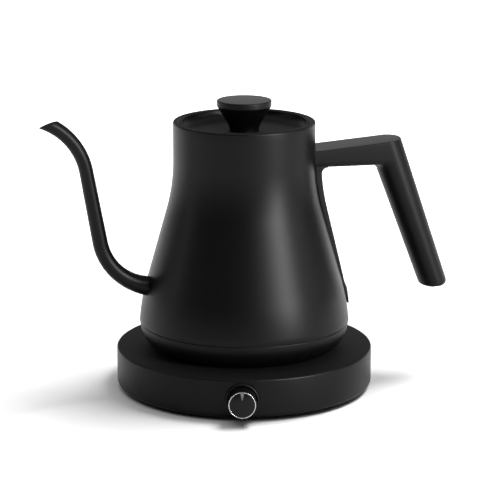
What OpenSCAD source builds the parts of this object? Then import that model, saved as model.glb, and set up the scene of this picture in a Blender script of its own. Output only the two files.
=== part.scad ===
// Electric gooseneck kettle on a round powered base.
// Origin: centre of the foot ring's underside, on the table. +Z is up and the dial faces -Y.
// The kettle is modelled with its handle along +X and its spout along -X, then turned about Z.

/* [Base] */
// Outer radius of the base
base_r = 85; // [78:1:110]
// Height of the base's flat top above the table
base_top_z = 27.8; // [26.5:0.1:40]
// Thickness of the base's side wall
base_wall = 2.4; // [1.8:0.1:3]
// Thickness of the base's top
base_deck = 2.6; // [2:0.1:3]
// Rounding of the base's top edge
base_top_round = 1.3; // [0.6:0.1:2.2]
// Rounding of the base's bottom edge
base_low_round = 3.5; // [2:0.1:5]
// Height of the foot ring under the housing
foot_h = 1.8; // [1:0.1:3]
// Thickness of the base's bottom plate
plate_t = 2.4; // [2:0.1:3.2]
// Radial width of the rubber foot ring
foot_ring_w = 7; // [4:0.5:10]
// Radius of the circle that the base's screws lie on
base_screw_ring_r = 60; // [56:1:62]

/* [Connector] */
// Radius of the round plug in the middle of the base
plug_r = 13.6; // [11:0.1:15]
// Height of the plug above the base's top
plug_h = 9.6; // [7:0.1:10.5]
// Outer radius of the round socket in the kettle
socket_r = 20.6; // [18:0.1:22]
// Clearance between the plug and the socket
plug_gap = 0.6; // [0.4:0.1:1]

/* [Dial] */
// Height of the dial's axis above the table
dial_z = 14.8; // [13.5:0.1:16]
// Radius of the dial
dial_r = 9.1; // [8:0.1:9.6]
// How far the dial's face stands out from the base
dial_reach = 12; // [9:0.5:16]
// Radius of the collar around the dial
collar_r = 10.9; // [10.6:0.1:11.4]
// How far the collar stands out from the base
collar_reach = 2.2; // [1:0.1:3]
// Radius of the dial's shaft
shaft_r = 3; // [2.6:0.1:3.2]
// Travel of the dial when it is pressed
press_travel = 0.8; // [0.3:0.1:0.9]

/* [Kettle body] */
// Turn of the kettle on its base, seen from above
kettle_turn = 12; // [0:0.1:40]
// Outer radius of the straight neck
neck_r = 46.8; // [44:0.1:60]
// Height of the rim above the table
rim_z = 179.2; // [170:0.1:230]
// Height at which the neck starts to flare
flare_z = 153.8; // [145:0.1:158]
// Radius of the hollow flare under the neck
flare_round = 125; // [90:1:160]
// Slope of the side, from upright
side_slope = 14.86; // [12:0.01:16]
// Radius of the widest part of the body
belly_r = 70; // [66:0.1:74]
// Radius of the belly's curve, seen from the side
belly_round = 130; // [90:1:160]
// Height of the seam between the shell and the bottom cap
seam_z = 45.1; // [43:0.1:47]
// Width of the seam
seam_gap = 0.5; // [0.3:0.1:0.8]
// Thickness of the shell's sheet
shell_t = 1.2; // [0.8:0.1:1.6]
// Width of the rolled rim
rim_w = 4.2; // [3.4:0.1:5]
// Height of the rolled rim
rim_h = 6; // [4:0.1:7]
// Rounding of the rim's edges
rim_round = 1.2; // [0.5:0.1:1.6]
// Radius of the flat under the bottom cap
cap_foot_r = 60; // [56:0.5:63]
// Gap between the kettle and the base's top
seat_gap = 0.5; // [0.3:0.1:1]
// Wall of the bottom cap
cap_t = 2; // [1.6:0.1:2.6]

/* [Spout] */
// Height of the spout's axis where it leaves the middle of the side
spout_z = 69.3; // [60:0.1:78]
// Rise of the spout's root
spout_root_rise = 14.7; // [8:0.1:22]
// Length of the straight root, measured from the spout's reference radius
spout_root_len = 8.7; // [5:0.1:14]
// Radius of the lower bend
spout_low_bend = 38; // [30:0.5:48]
// Rise of the long straight
spout_rise = 80; // [74:0.5:86]
// Length of the long straight
spout_len = 48.2; // [36:0.1:60]
// Radius of the upper bend
spout_top_bend = 44.5; // [34:0.5:54]
// Rise of the spout's axis at the middle of its tip's cut
spout_tip_rise = 26.8; // [22:0.1:40]
// Fall of the tip's cut, from level
spout_cut = 19.5; // [10:0.5:30]
// Outer radius of the spout's root
spout_root_r = 6.3; // [5.4:0.1:7.5]
// Outer radius of the lower bend
spout_low_r = 5.1; // [4.4:0.1:5.4]
// Outer radius of the upper bend
spout_top_r = 4.65; // [3.8:0.05:5.1]
// Wall of the spout
spout_wall = 0.9; // [0.7:0.1:1.2]

/* [Handle] */
// Width of the mounting strip on the body's side
strip_w = 24; // [18:1:28]
// Height of the mounting strip's lower end
strip_low_z = 55; // [52:1:90]
// Thickness of the mounting strip at its lower end
strip_low_t = 1.5; // [1.2:0.1:2.5]
// Thickness of the mounting strip under the arm
strip_top_t = 4.2; // [3.2:0.1:5]
// Width of the arm and the grip
grip_w = 27; // [20:1:32]
// Height of the arm's underside
arm_low_z = 148; // [135:0.5:150]
// Height of the arm's top where it meets the body
arm_root_z = 159.4; // [157:0.1:162]
// Height of the arm's top at its outer end
arm_top_z = 164.2; // [162:0.1:168]
// Distance from the kettle's axis to the grip's outer edge, at the arm's top
grip_top_x = 106.5; // [98:0.5:130]
// Distance from the kettle's axis to the grip's outer edge, at its lower end
grip_low_x = 140.2; // [125:0.5:165]
// Height of the grip's lower end
grip_low_z = 62; // [56:0.5:80]
// Thickness of the grip under the arm
grip_top_t = 21.2; // [16:0.1:24]
// Thickness of the grip at its lower end
grip_low_t = 18.4; // [14:0.1:22]
// Rounding of the grip's long edges
grip_round = 7.5; // [3:0.5:8.5]

/* [Lid] */
// Gap between the lid and the rim
lid_gap = 0.4; // [0.3:0.1:0.8]
// Radius of the lid's flat floor
lid_floor_r = 34; // [28:0.5:37]
// Depth of the lid's floor below the rim
lid_floor_depth = 6.6; // [5:0.1:8]
// Thickness of the lid's sheet
lid_t = 1.2; // [0.8:0.1:1.6]
// Radius of the knob's top
knob_r = 18; // [14:0.5:24]
// Radius of the knob's foot
knob_foot_r = 9.7; // [8:0.1:12]
// Height of the knob's top above the rim
knob_above_rim = 14; // [10:0.1:22]
// Height of the knob's upright edge
knob_edge_h = 3.4; // [2:0.1:5]
// Depth of the lid's plug below the seat
plug_depth = 10; // [7:0.5:14]

/* [Fits] */
// Radial clearance of a running fit
fit = 0.05; // [0.02:0.01:0.1]
// Gap between pieces that are fixed together
joint_gap = 0.1; // [0.05:0.05:0.2]
// Clearance of a hole around its screw
screw_gap = 0.2; // [0.1:0.05:0.4]

/* [Hidden] */
$fn = 96;
ARC_STEP = 3;          // degrees between the points of a curve in an outline
SPOUT_STEP = 6;        // degrees between the spout's stations in its bends
SPOUT_SIDES = 28;      // sides of the spout's section
SLOP = 1;              // how far a cutting solid runs past what it cuts

// Base
base_in_r = base_r - base_wall;
plate_r = base_r - base_low_round - base_wall + 0.6;
plate_top_z = foot_h + plate_t;
deck_low_z = base_top_z - base_deck;
foot_groove = 0.8;
foot_ring_r = plate_r - 2.6;
screw_r = 1.4;
screw_head_r = 2.9;
screw_head_h = 1.5;
boss_r = 4;

// Connector
plug_top_z = base_top_z + plug_h;
plug_wall = 2;
plug_flange_r = plug_r + 6.4;
plug_flange_h = 1.8;
post_r = 7;
post_bore_r = 3.2;
contact_t = 0.6;
ring_contact_r = (post_r + plug_r - plug_wall) / 2 + contact_t / 2;
pin_r = 1.8;

// Electronics in the base
board_w = 66;
board_d = 38;
board_t = 1.6;
board_y = 28;
board_z = plate_top_z + 3.6;
board_top_z = board_z + board_t;
board_hole_inset = 5;
board_screw_r = 1.2;
board_screw_head_r = 2.3;
board_screw_head_h = 1.3;
standoff_r = 3;
part_h = deck_low_z - board_top_z - joint_gap * 4;

// Lead gland, at the back
gland_neck_r = 5.6;
gland_flange_r = 7.8;
gland_pad_r = 8.6;
gland_pad_t = 5.4;
gland_bore_r = 3.4;
gland_pad_y = base_r + 0.4;
gland_out_y = base_r + 2.2;
gland_in_y = base_r - 8.6;

// Dial, along Y
collar_seat_y = -base_r + 3;
boss_in_y = -base_r + 7;
collar_face_y = -base_r - collar_reach;
dial_face_y = -base_r - dial_reach;
dial_back_y = collar_face_y + 1.4;
bush_r = shaft_r + 1;
nut_h = 1.6;
nut_r = 5.4;
encoder_w = 12.4;
encoder_d = 7;
encoder_back_y = boss_in_y + encoder_d;
encoder_wall = 0.9;
shaft_flange_r = shaft_r + 1.2;
shaft_flange_t = 1.4;
plunger_r = 1.2;
plunger_head_r = 2.4;
plunger_head_t = 0.9;
plunger_len = 6;
plunger_back_y = encoder_back_y - encoder_wall - press_travel - 0.2;
flange_back_y = plunger_back_y - plunger_head_t - 0.3;
cap_face_t = 3;
ring_w = 0.7;
ring_h = 1;
pointer_w = 2.7;
pointer_tip_w = 0.3;
pointer_len = 5.7;
pointer_t = 0.8;
notch_w = 0.8;

// Kettle body
cap_low_z = base_top_z + seat_gap;
belly_z = seam_z - 9.1;
low_line_x = belly_r - belly_round * (1 - cos(side_slope));
low_line_z = belly_z + belly_round * sin(side_slope);
flare_x = neck_r + flare_round * (1 - cos(side_slope));
flare_low_z = flare_z - flare_round * sin(side_slope);
seam_r = belly_r - belly_round + sqrt(pow(belly_round, 2) - pow(seam_z - belly_z, 2));
cap_top_r = seam_r - 0.4;
cap_top_z = seam_z - seam_gap;
cap_rise = cap_top_z - cap_low_z;
cap_run = cap_top_r - cap_foot_r;
cap_round = (pow(cap_rise, 2) + pow(cap_run, 2)) / (2 * cap_run);
cap_turn = asin(cap_rise / cap_round);
seam_gasket_top_z = seam_z - 0.15;
floor_t = 1.5;
floor_z = seam_z + 1.4;
spreader_t = 3;
spreader_r = 50;
spreader_low_z = floor_z - joint_gap - spreader_t;
element_r = 3.2;
element_ring_r = 40;
element_gap_angle = 50;
element_z = spreader_low_z - joint_gap - element_r;
socket_low_z = cap_low_z + 0.5;
socket_top_z = plug_top_z + 3;
cutout_r = 17;
cutout_low_z = socket_top_z + 0.4;
stud_ring_r = 57;
stud_r = 3.4;
stud_low_z = cap_low_z + 11;
probe_x = 12;
probe_y = 20;
probe_r = 2.4;
probe_top_z = floor_z + floor_t + 5.5;

// Lid
mouth_r = neck_r - rim_w;
lid_r = mouth_r - lid_gap;
lid_floor_z = rim_z - lid_floor_depth;
seat_z = rim_z - rim_h - (rim_w - shell_t) - joint_gap;
seat_t = 1.4;
seat_in_r = mouth_r - 2;
plug_in_r = seat_in_r - lid_gap;
lid_plug_low_z = seat_z - plug_depth;
knob_top_z = rim_z + knob_above_rim;
knob_screw_r = 2;

// Handle
strip_top_z = arm_root_z - 2;
grip_lean = atan((grip_low_x - grip_top_x) / (arm_top_z - grip_low_z));
strip_screw_zs = [138, 112];
strip_screw_r = 1.9;
strip_screw_head_r = 3.5;
strip_screw_head_h = 1.5;
strip_screw_len = 8;
strip_screw_seat = 1.2;
strip_gain = 0.7;      // how fast the strip thickens from its lower end: 1 is evenly
handle_nut_r = 4.2;
handle_nut_wall = 1.6;

// Spout, in the plane of the handle and the spout: x outwards from the axis, z up
spout_ref_x = 60;
root_end = [spout_ref_x + spout_root_len * cos(spout_root_rise),
            spout_z + spout_root_len * sin(spout_root_rise)];
low_centre = root_end + spout_low_bend * [-sin(spout_root_rise), cos(spout_root_rise)];
low_end = low_centre + spout_low_bend * [sin(spout_rise), -cos(spout_rise)];
straight_end = low_end + spout_len * [cos(spout_rise), sin(spout_rise)];
top_centre = straight_end + spout_top_bend * [sin(spout_rise), -cos(spout_rise)];
tip = top_centre + spout_top_bend * [-sin(spout_tip_rise), cos(spout_tip_rise)];
spout_end_rise = spout_tip_rise - 14;

// ---------------------------------------------------------------- outlines

// Points of an arc about c, from angle a to angle b
function arc(c, r, a, b) =
    let (n = max(2, ceil(abs(b - a) / ARC_STEP)))
    [for (i = [0:n]) c + r * [cos(a + (b - a) * i / n), sin(a + (b - a) * i / n)]];

// The shell's outside from the seam up to the neck's top, moved out by d
function side_points(d) = concat(
    arc([belly_r - belly_round, belly_z], belly_round + d,
        asin((seam_z - belly_z) / belly_round), side_slope),
    arc([neck_r + flare_round, flare_z], flare_round - d, 180 + side_slope, 180),
    [[neck_r + d, rim_z]]);

// Radius of the shell's outside at height z, on the straight stretch, the flare or the neck
function side_r(z) =
    z > flare_z ? neck_r
    : z > flare_low_z ? neck_r + flare_round - sqrt(pow(flare_round, 2) - pow(flare_z - z, 2))
    : z > low_line_z ? flare_x + (flare_low_z - z) * (low_line_x - flare_x) / (flare_low_z - low_line_z)
    : belly_r - belly_round + sqrt(pow(belly_round, 2) - pow(z - belly_z, 2));

// Solid of the shell's outside, moved out by d and run a little way past the seam
module side_solid(d) {
    low_z = seam_z - SLOP * 4;
    rotate_extrude() polygon(concat([[0, low_z], [seam_r + d, low_z]], side_points(d), [[0, rim_z]]));
}

module ring(r_out, r_in, h) {
    difference() {
        cylinder(r = r_out, h = h);
        translate([0, 0, -SLOP]) cylinder(r = r_in, h = h + 2 * SLOP);
    }
}

// A solid along -Y, from y = back towards y = front
module along_y(back) {
    translate([0, back, 0]) rotate([90, 0, 0]) children();
}

module at_dial() { translate([0, 0, dial_z]) children(); }

module turned() { rotate([0, 0, kettle_turn]) children(); }

module at_board_holes() {
    for (x = [-1, 1], y = [board_hole_inset, board_d - board_hole_inset])
        translate([x * (board_w / 2 - board_hole_inset), board_y + y, 0]) children();
}

module around(n, r, start = 45) {
    for (i = [0:n - 1]) rotate([0, 0, start + i * 360 / n]) translate([r, 0, 0]) children();
}

// ---------------------------------------------------------------- base

module base_shape() {
    polygon(concat(
        [[plug_r + 0.4, deck_low_z], [base_in_r - 1.5, deck_low_z]],
        arc([base_in_r - 1.5, deck_low_z - 1.5], 1.5, 90, 0),
        [[base_in_r, foot_h + base_low_round]],
        [[plate_r + 0.3, foot_h + 1], [plate_r + 0.3, foot_h]],
        arc([base_r - base_low_round, foot_h + base_low_round], base_low_round, -90, 0),
        arc([base_r - base_top_round, base_top_z - base_top_round], base_top_round, 0, 90),
        [[plug_r + 0.4, base_top_z]]));
}

module base_housing() {
    color("#1c1c1e") difference() {
        union() {
            rotate_extrude() base_shape();
            around(4, base_screw_ring_r)
                translate([0, 0, plate_top_z + joint_gap])
                    cylinder(r = boss_r, h = deck_low_z - plate_top_z);
            intersection() {
                at_dial() along_y(boss_in_y) cylinder(r = collar_r + 1.6, h = base_wall * 4);
                translate([0, 0, plate_top_z + joint_gap])
                    cylinder(r = base_r - base_wall / 2, h = base_top_z - base_deck / 2 - plate_top_z);
            }
            at_dial() along_y(gland_pad_y) cylinder(r = gland_pad_r, h = gland_pad_t);
        }
        around(4, base_screw_ring_r)
            translate([0, 0, plate_top_z]) cylinder(r = screw_r + fit, h = 14);
        at_dial() along_y(collar_seat_y) cylinder(r = collar_r + fit, h = base_r);
        at_dial() along_y(0) cylinder(r = bush_r + fit, h = base_r);
        at_dial() along_y(gland_out_y) cylinder(r = gland_neck_r + fit, h = gland_out_y - gland_in_y);
    }
}

module base_plate() {
    color("#151517") difference() {
        union() {
            translate([0, 0, foot_h]) cylinder(r = plate_r, h = plate_t);
            at_board_holes() translate([0, 0, plate_top_z])
                cylinder(r = standoff_r, h = board_z - plate_top_z);
        }
        translate([0, 0, foot_h - SLOP])
            ring(foot_ring_r + fit, foot_ring_r - foot_ring_w - fit, foot_groove + SLOP);
        around(4, base_screw_ring_r) {
            cylinder(r = screw_r + screw_gap, h = plate_top_z + SLOP);
            translate([0, 0, foot_h - SLOP])
                cylinder(r = screw_head_r + screw_gap, h = screw_head_h + SLOP);
        }
        at_board_holes() translate([0, 0, plate_top_z - 1])
            cylinder(r = board_screw_r + fit, h = board_z);
    }
}

module foot_ring() {
    color("#0d0d0d") ring(foot_ring_r, foot_ring_r - foot_ring_w, foot_h + foot_groove);
}

module base_screws() {
    color("#9a9a9c") around(4, base_screw_ring_r) translate([0, 0, foot_h + 0.1]) {
        cylinder(r = screw_head_r, h = screw_head_h - 0.1);
        cylinder(r = screw_r, h = 12);
    }
}

module connector_plug() {
    tower_low_z = deck_low_z - joint_gap - plug_flange_h;
    color("#222224") difference() {
        union() {
            translate([0, 0, tower_low_z]) cylinder(r = plug_flange_r, h = plug_flange_h);
            translate([0, 0, tower_low_z - 6]) cylinder(r = plug_r, h = plug_top_z - tower_low_z + 6);
        }
        translate([0, 0, tower_low_z])
            ring(plug_r - plug_wall, post_r, plug_top_z);
        translate([0, 0, tower_low_z]) cylinder(r = post_bore_r, h = plug_top_z);
        translate([0, 0, plug_top_z - 1]) cylinder(r = plug_r - plug_wall, h = SLOP * 2);
    }
}

module plug_contacts() {
    low_z = deck_low_z - joint_gap - plug_flange_h;
    color("#c9a24a") {
        translate([0, 0, low_z + fit])
            ring(plug_r - plug_wall - fit, plug_r - plug_wall - contact_t, plug_h - 1);
        translate([0, 0, low_z + fit])
            ring(post_bore_r - fit, post_bore_r - contact_t, plug_h - 1);
    }
}

module power_board() {
    color("#1f5a35") difference() {
        translate([-board_w / 2, board_y, board_z]) cube([board_w, board_d, board_t]);
        at_board_holes() translate([0, 0, board_z - SLOP])
            cylinder(r = board_screw_r + screw_gap, h = board_t + 2 * SLOP);
    }
}

module board_screws() {
    color("#b8b8ba") at_board_holes() {
        translate([0, 0, board_top_z]) cylinder(r = board_screw_head_r, h = board_screw_head_h);
        translate([0, 0, plate_top_z]) cylinder(r = board_screw_r, h = board_top_z - plate_top_z);
    }
}

module relay() {
    color("#20262c") translate([-27, board_y + 10.5, board_top_z]) cube([15.5, 19, min(15, part_h)]);
}

module transformer() {
    color("#3a3323") translate([-4, board_y + 14, board_top_z]) {
        cube([18, 15, 3]);
        translate([2, 1, 3]) cube([14, 13, min(9, part_h - 3)]);
    }
}

module capacitor() {
    color("#2b2b3a") translate([22, board_y + 19, board_top_z]) cylinder(r = 5, h = min(12, part_h));
}

module terminal_block() {
    color("#2c5b8a") difference() {
        translate([-10, board_y + board_d - 7.2, board_top_z]) cube([20, 7, 9]);
        for (x = [-6, 0, 6]) translate([x, board_y + board_d + 1, board_top_z + 4])
            rotate([90, 0, 0]) cylinder(r = 1.6, h = 6);
    }
}

module control_board() {
    color("#1f5a35") translate([-24, encoder_back_y, plate_top_z + 1])
        cube([48, board_t, deck_low_z - plate_top_z - 2]);
}

module buzzer() {
    color("#101012") translate([14, encoder_back_y + board_t, dial_z]) rotate([-90, 0, 0])
        difference() {
            cylinder(r = 6, h = 5);
            translate([0, 0, 4]) cylinder(r = 1, h = 2);
        }
}

module lead_gland() {
    pad_in_y = gland_pad_y - gland_pad_t - joint_gap / 2;
    color("#161618") at_dial() difference() {
        union() {
            along_y(gland_out_y)
                cylinder(r = gland_flange_r, h = gland_out_y - gland_pad_y - joint_gap / 2);
            along_y(gland_out_y) cylinder(r = gland_neck_r, h = gland_out_y - gland_in_y);
            along_y(pad_in_y) cylinder(r = gland_flange_r, h = pad_in_y - gland_in_y);
        }
        along_y(gland_out_y + SLOP) cylinder(r = gland_bore_r, h = gland_out_y - gland_in_y + 2 * SLOP);
    }
}

// ---------------------------------------------------------------- dial

module encoder_body() {
    color("#8d8f93") at_dial() difference() {
        union() {
            translate([-encoder_w / 2, boss_in_y + joint_gap / 2, -encoder_w / 2])
                cube([encoder_w, encoder_d - joint_gap, encoder_w]);
            along_y(boss_in_y + 1)
                cylinder(r = bush_r, h = boss_in_y + 1 - collar_seat_y + nut_h + 1.4);
        }
        along_y(encoder_back_y - encoder_wall)
            cylinder(r = shaft_flange_r + 0.4, h = encoder_d - 2 * encoder_wall);
        along_y(boss_in_y + 2) cylinder(r = shaft_r + fit, h = base_r);
    }
}

module encoder_nut() {
    color("#b8b8ba") at_dial() along_y(collar_seat_y - joint_gap / 2) difference() {
        cylinder(r = nut_r, h = nut_h, $fn = 6);
        translate([0, 0, -SLOP]) cylinder(r = bush_r + fit, h = nut_h + 2 * SLOP, $fn = 96);
    }
}

module encoder_plunger() {
    color("#d8d8d8") at_dial() along_y(plunger_back_y) {
        cylinder(r = plunger_head_r, h = plunger_head_t);
        cylinder(r = plunger_r, h = plunger_len);
    }
}

module dial_shaft() {
    color("#b8b8ba") at_dial() difference() {
        union() {
            along_y(flange_back_y) cylinder(r = shaft_flange_r, h = shaft_flange_t);
            along_y(flange_back_y) cylinder(r = shaft_r, h = flange_back_y - dial_face_y - cap_face_t);
        }
        along_y(flange_back_y + SLOP) cylinder(r = plunger_r + fit, h = plunger_len + SLOP);
    }
}

// The pointer: a wedge let into the dial's face, made larger by grow to cut its slot
module pointer_shape(grow) {
    half_w = pointer_w / 2 + grow;
    half_tip = pointer_tip_w / 2 + grow;
    low = dial_r - pointer_len - grow;
    at_dial() along_y(dial_face_y + pointer_t + grow) intersection() {
        linear_extrude(pointer_t + grow * (1 + SLOP))
            polygon([[-half_w, dial_r], [-half_tip, low], [half_tip, low], [half_w, dial_r]]);
        cylinder(r = dial_r, h = pointer_t * 2);
    }
}

module dial_cap() {
    color("#141415") difference() {
        at_dial() along_y(dial_back_y) cylinder(r = dial_r, h = dial_back_y - dial_face_y);
        at_dial() along_y(dial_face_y + ring_h)
            ring(dial_r + SLOP, dial_r - ring_w - fit, ring_h + SLOP);
        at_dial() along_y(dial_back_y + SLOP)
            cylinder(r = shaft_r + fit, h = dial_back_y - dial_face_y + SLOP - cap_face_t + joint_gap);
        at_dial() along_y(dial_back_y + SLOP) ring(dial_r - 1.6, shaft_r + 1.6, 5);
        at_dial() along_y(dial_back_y + SLOP) translate([0, dial_r, 0]) rotate([0, 0, 45])
            translate([-notch_w / 2, -notch_w / 2, 0]) cube([notch_w, notch_w, base_r]);
        pointer_shape(fit);
    }
}

module dial_ring() {
    color("#d9dadc") difference() {
        at_dial() along_y(dial_face_y + ring_h - fit) ring(dial_r, dial_r - ring_w, ring_h - fit);
        pointer_shape(fit);
    }
}

module dial_pointer() {
    color("#c4c5c8") pointer_shape(0);
}

module dial_collar() {
    color("#1a1a1b") at_dial() along_y(collar_seat_y - joint_gap / 2)
        ring(collar_r, dial_r + 0.5, collar_seat_y - joint_gap / 2 - collar_face_y);
}

// ---------------------------------------------------------------- connector in the kettle

module kettle_socket() {
    color("#222224") difference() {
        translate([0, 0, socket_low_z]) cylinder(r = socket_r, h = socket_top_z - socket_low_z);
        translate([0, 0, socket_low_z - SLOP])
            cylinder(r = plug_r + plug_gap, h = plug_top_z + plug_gap - socket_low_z + SLOP);
    }
}

module socket_contacts() {
    roof_z = plug_top_z + plug_gap;
    color("#c9a24a") {
        translate([0, 0, roof_z - plug_h + 2.5]) cylinder(r = pin_r, h = plug_h - 2.5 - fit);
        translate([0, 0, roof_z - plug_h + 2.5])
            ring(ring_contact_r, ring_contact_r - contact_t, plug_h - 2.5 - fit);
    }
}

// ---------------------------------------------------------------- kettle body

module kettle_shell() {
    inner = side_points(-shell_t);
    n = len(inner);
    neck_inner_r = neck_r - shell_t;
    color("#1a1a1c") turned() difference() {
        rotate_extrude() polygon(concat(
            side_points(0), [[neck_r, rim_z - rim_round]],
            arc([neck_r - rim_round, rim_z - rim_round], rim_round, 0, 90),
            arc([mouth_r + rim_round, rim_z - rim_round], rim_round, 90, 180),
            [[mouth_r, rim_z - rim_h]],
            [[neck_inner_r, rim_z - rim_h - (rim_w - shell_t)]],
            [for (i = [n - 2:-1:0]) inner[i]]));
        spout_axis() translate([0, 0, -20]) cylinder(r = spout_low_r - spout_wall, h = 40);
        for (z = strip_screw_zs)
            translate([side_r(z) - 12, 0, z]) rotate([0, 90, 0])
                cylinder(r = strip_screw_r + screw_gap, h = 24);
    }
}

module lid_seat() {
    color("#8e8f92") turned() translate([0, 0, seat_z - seat_t])
        ring(neck_r - shell_t - fit, seat_in_r, seat_t);
}

module floor_plate() {
    color("#a5a6a9") turned() difference() {
        union() {
            rotate_extrude() polygon([
                [0, floor_z], [side_r(floor_z) - shell_t - 0.3, floor_z],
                [side_r(floor_z + floor_t) - shell_t - 0.3, floor_z + floor_t], [0, floor_z + floor_t]]);
            around(3, stud_ring_r, 30) translate([0, 0, stud_low_z])
                cylinder(r = stud_r, h = floor_z - stud_low_z + floor_t / 2);
        }
        around(3, stud_ring_r, 30) translate([0, 0, stud_low_z - SLOP])
            cylinder(r = screw_r + fit, h = floor_z - stud_low_z);
        translate([probe_x, probe_y, floor_z - SLOP])
            cylinder(r = probe_r + 1.2 + fit, h = floor_t + 2 * SLOP);
    }
}

module heat_spreader() {
    color("#b4b5b8") turned() difference() {
        translate([0, 0, spreader_low_z]) cylinder(r = spreader_r, h = spreader_t);
        translate([probe_x, probe_y, spreader_low_z - SLOP])
            cylinder(r = probe_r + 3, h = spreader_t + 2 * SLOP);
    }
}

module heating_element() {
    start = 180 + element_gap_angle / 2;
    color("#7b6a5c") turned() {
        rotate([0, 0, start]) rotate_extrude(angle = 360 - element_gap_angle)
            translate([element_ring_r, element_z]) circle(r = element_r);
        for (s = [-1, 1]) rotate([0, 0, 180 + s * (element_gap_angle / 2)])
            translate([element_ring_r, s, element_z]) rotate([s * 90, 0, 0])
                cylinder(r = element_r / 2, h = 10);
    }
}

module thermal_cutout() {
    color("#d6d2c4") turned() difference() {
        translate([0, 0, cutout_low_z])
            cylinder(r = cutout_r, h = spreader_low_z - joint_gap - cutout_low_z);
        for (a = [0, 180]) rotate([0, 0, a]) translate([9, 0, cutout_low_z - SLOP])
            cylinder(r = 3, h = SLOP + 0.6);
    }
}

module temperature_probe() {
    color("#c8c9cc") turned() translate([probe_x, probe_y, 0]) {
        translate([0, 0, spreader_low_z + 0.2]) cylinder(r = probe_r, h = probe_top_z - probe_r - spreader_low_z - 0.2);
        translate([0, 0, probe_top_z - probe_r]) sphere(r = probe_r);
    }
}

module probe_seal() {
    color("#7a2f24") turned() translate([probe_x, probe_y, 0]) difference() {
        union() {
            translate([0, 0, floor_z - 0.8]) cylinder(r = probe_r + 1.2, h = floor_t + 1.6);
            translate([0, 0, floor_z + floor_t + fit]) cylinder(r = probe_r + 2.6, h = 1);
        }
        translate([0, 0, floor_z - SLOP * 2]) cylinder(r = probe_r + fit, h = floor_t + 5);
    }
}

module seam_gasket() {
    color("#0b0b0b") turned() translate([0, 0, cap_top_z + fit])
        ring(seam_r - 0.7, seam_r - 2.2, seam_gasket_top_z - cap_top_z - fit);
}

module bottom_cap() {
    outside = arc([cap_top_r - cap_round, cap_top_z], cap_round, -cap_turn, 0);
    inside = arc([cap_top_r - cap_round, cap_top_z], cap_round - cap_t, 0, -cap_turn + 6);
    color("#161618") turned() difference() {
        union() {
            rotate_extrude() polygon(concat(
                [[socket_r + 0.4, cap_low_z], [cap_foot_r - 2, cap_low_z]], outside, inside,
                [[cap_foot_r - 5, cap_low_z + cap_t], [socket_r + 0.4, cap_low_z + cap_t]]));
            translate([0, 0, cap_low_z]) ring(socket_r + 2.4, socket_r + 0.4, 7);
            around(3, stud_ring_r, 30) translate([0, 0, cap_low_z + cap_t / 2])
                cylinder(r = boss_r, h = stud_low_z - joint_gap - cap_low_z - cap_t / 2);
        }
        around(3, stud_ring_r, 30) {
            translate([0, 0, cap_low_z - SLOP]) cylinder(r = screw_r + screw_gap, h = 16);
            translate([0, 0, cap_low_z - SLOP]) cylinder(r = screw_head_r + screw_gap, h = 5 + SLOP);
        }
    }
}

module cap_screws() {
    color("#9a9a9c") turned() around(3, stud_ring_r, 30) {
        translate([0, 0, cap_low_z + 5 - screw_head_h]) cylinder(r = screw_head_r, h = screw_head_h);
        translate([0, 0, cap_low_z + 5 - screw_head_h])
            cylinder(r = screw_r, h = floor_z - cap_low_z - 6);
    }
}

// ---------------------------------------------------------------- spout

// Moves a solid along +Z onto the spout's root axis
module spout_axis() {
    rotate([0, 0, 180]) translate([spout_ref_x, 0, spout_z]) rotate([0, 90 - spout_root_rise, 0])
        children();
}

// Stations along one bend, as [point, rise, outer radius]: side is 1 when it curls up, -1 when it levels out
function bend_stations(c, r, from, to, side, radius) =
    let (n = ceil(abs(to - from) / SPOUT_STEP))
    [for (i = [0:n]) let (e = from + (to - from) * i / n)
        [c + side * r * [sin(e), -cos(e)], e, radius(i / n)]];

// All stations, from inside the body to past the tip
function spout_stations() = concat(
    [[root_end - 14 * [cos(spout_root_rise), sin(spout_root_rise)], spout_root_rise, spout_root_r + 0.6]],
    bend_stations(low_centre, spout_low_bend, spout_root_rise, spout_rise, 1,
        function (u) spout_low_r + (spout_root_r - spout_low_r) * pow(1 - u, 3)),
    bend_stations(top_centre, spout_top_bend, spout_rise, spout_end_rise, -1,
        function (u) spout_top_r));

// Solid swept along the spout's stations, made thinner by d and longer by over
module spout_solid(d, over) {
    st = spout_stations();
    last = len(st) - 1;
    points = [for (i = [0:last]) let (e = st[i][1], r = st[i][2] - d,
                                      push = i == 0 ? -over : i == last ? over : 0,
                                      p = st[i][0] + push * [cos(e), sin(e)])
        for (k = [0:SPOUT_SIDES - 1]) let (a = 360 * k / SPOUT_SIDES)
            [p[0] - r * sin(e) * cos(a), r * sin(a), p[1] + r * cos(e) * cos(a)]];
    faces = concat(
        [[for (k = [SPOUT_SIDES - 1:-1:0]) k]],
        [for (i = [0:last - 1], k = [0:SPOUT_SIDES - 1]) let (m = (k + 1) % SPOUT_SIDES)
            [i * SPOUT_SIDES + k, i * SPOUT_SIDES + m, (i + 1) * SPOUT_SIDES + m, (i + 1) * SPOUT_SIDES + k]],
        [[for (k = [0:SPOUT_SIDES - 1]) last * SPOUT_SIDES + k]]);
    polyhedron(points = points, faces = faces, convexity = 6);
}

module spout_tube() {
    color("#1a1a1c") turned() difference() {
        rotate([0, 0, 180]) difference() {
            spout_solid(0, 0);
            spout_solid(spout_wall, SLOP);
            translate([tip[0], 0, tip[1]]) rotate([0, spout_cut, 0])
                translate([-16, -15, 0]) cube([46, 30, 30]);
        }
        side_solid(joint_gap / 2);
    }
}

// ---------------------------------------------------------------- handle

// A thin rounded slab across the grip: width along Y, thickness along X
module grip_section(t) {
    r = min(grip_round, t / 2 - 0.2);
    linear_extrude(0.1) for (x = [-1, 1], y = [-1, 1])
        translate([x * (t / 2 - r), y * (grip_w / 2 - r)]) circle(r = r, $fn = 32);
}

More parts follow.
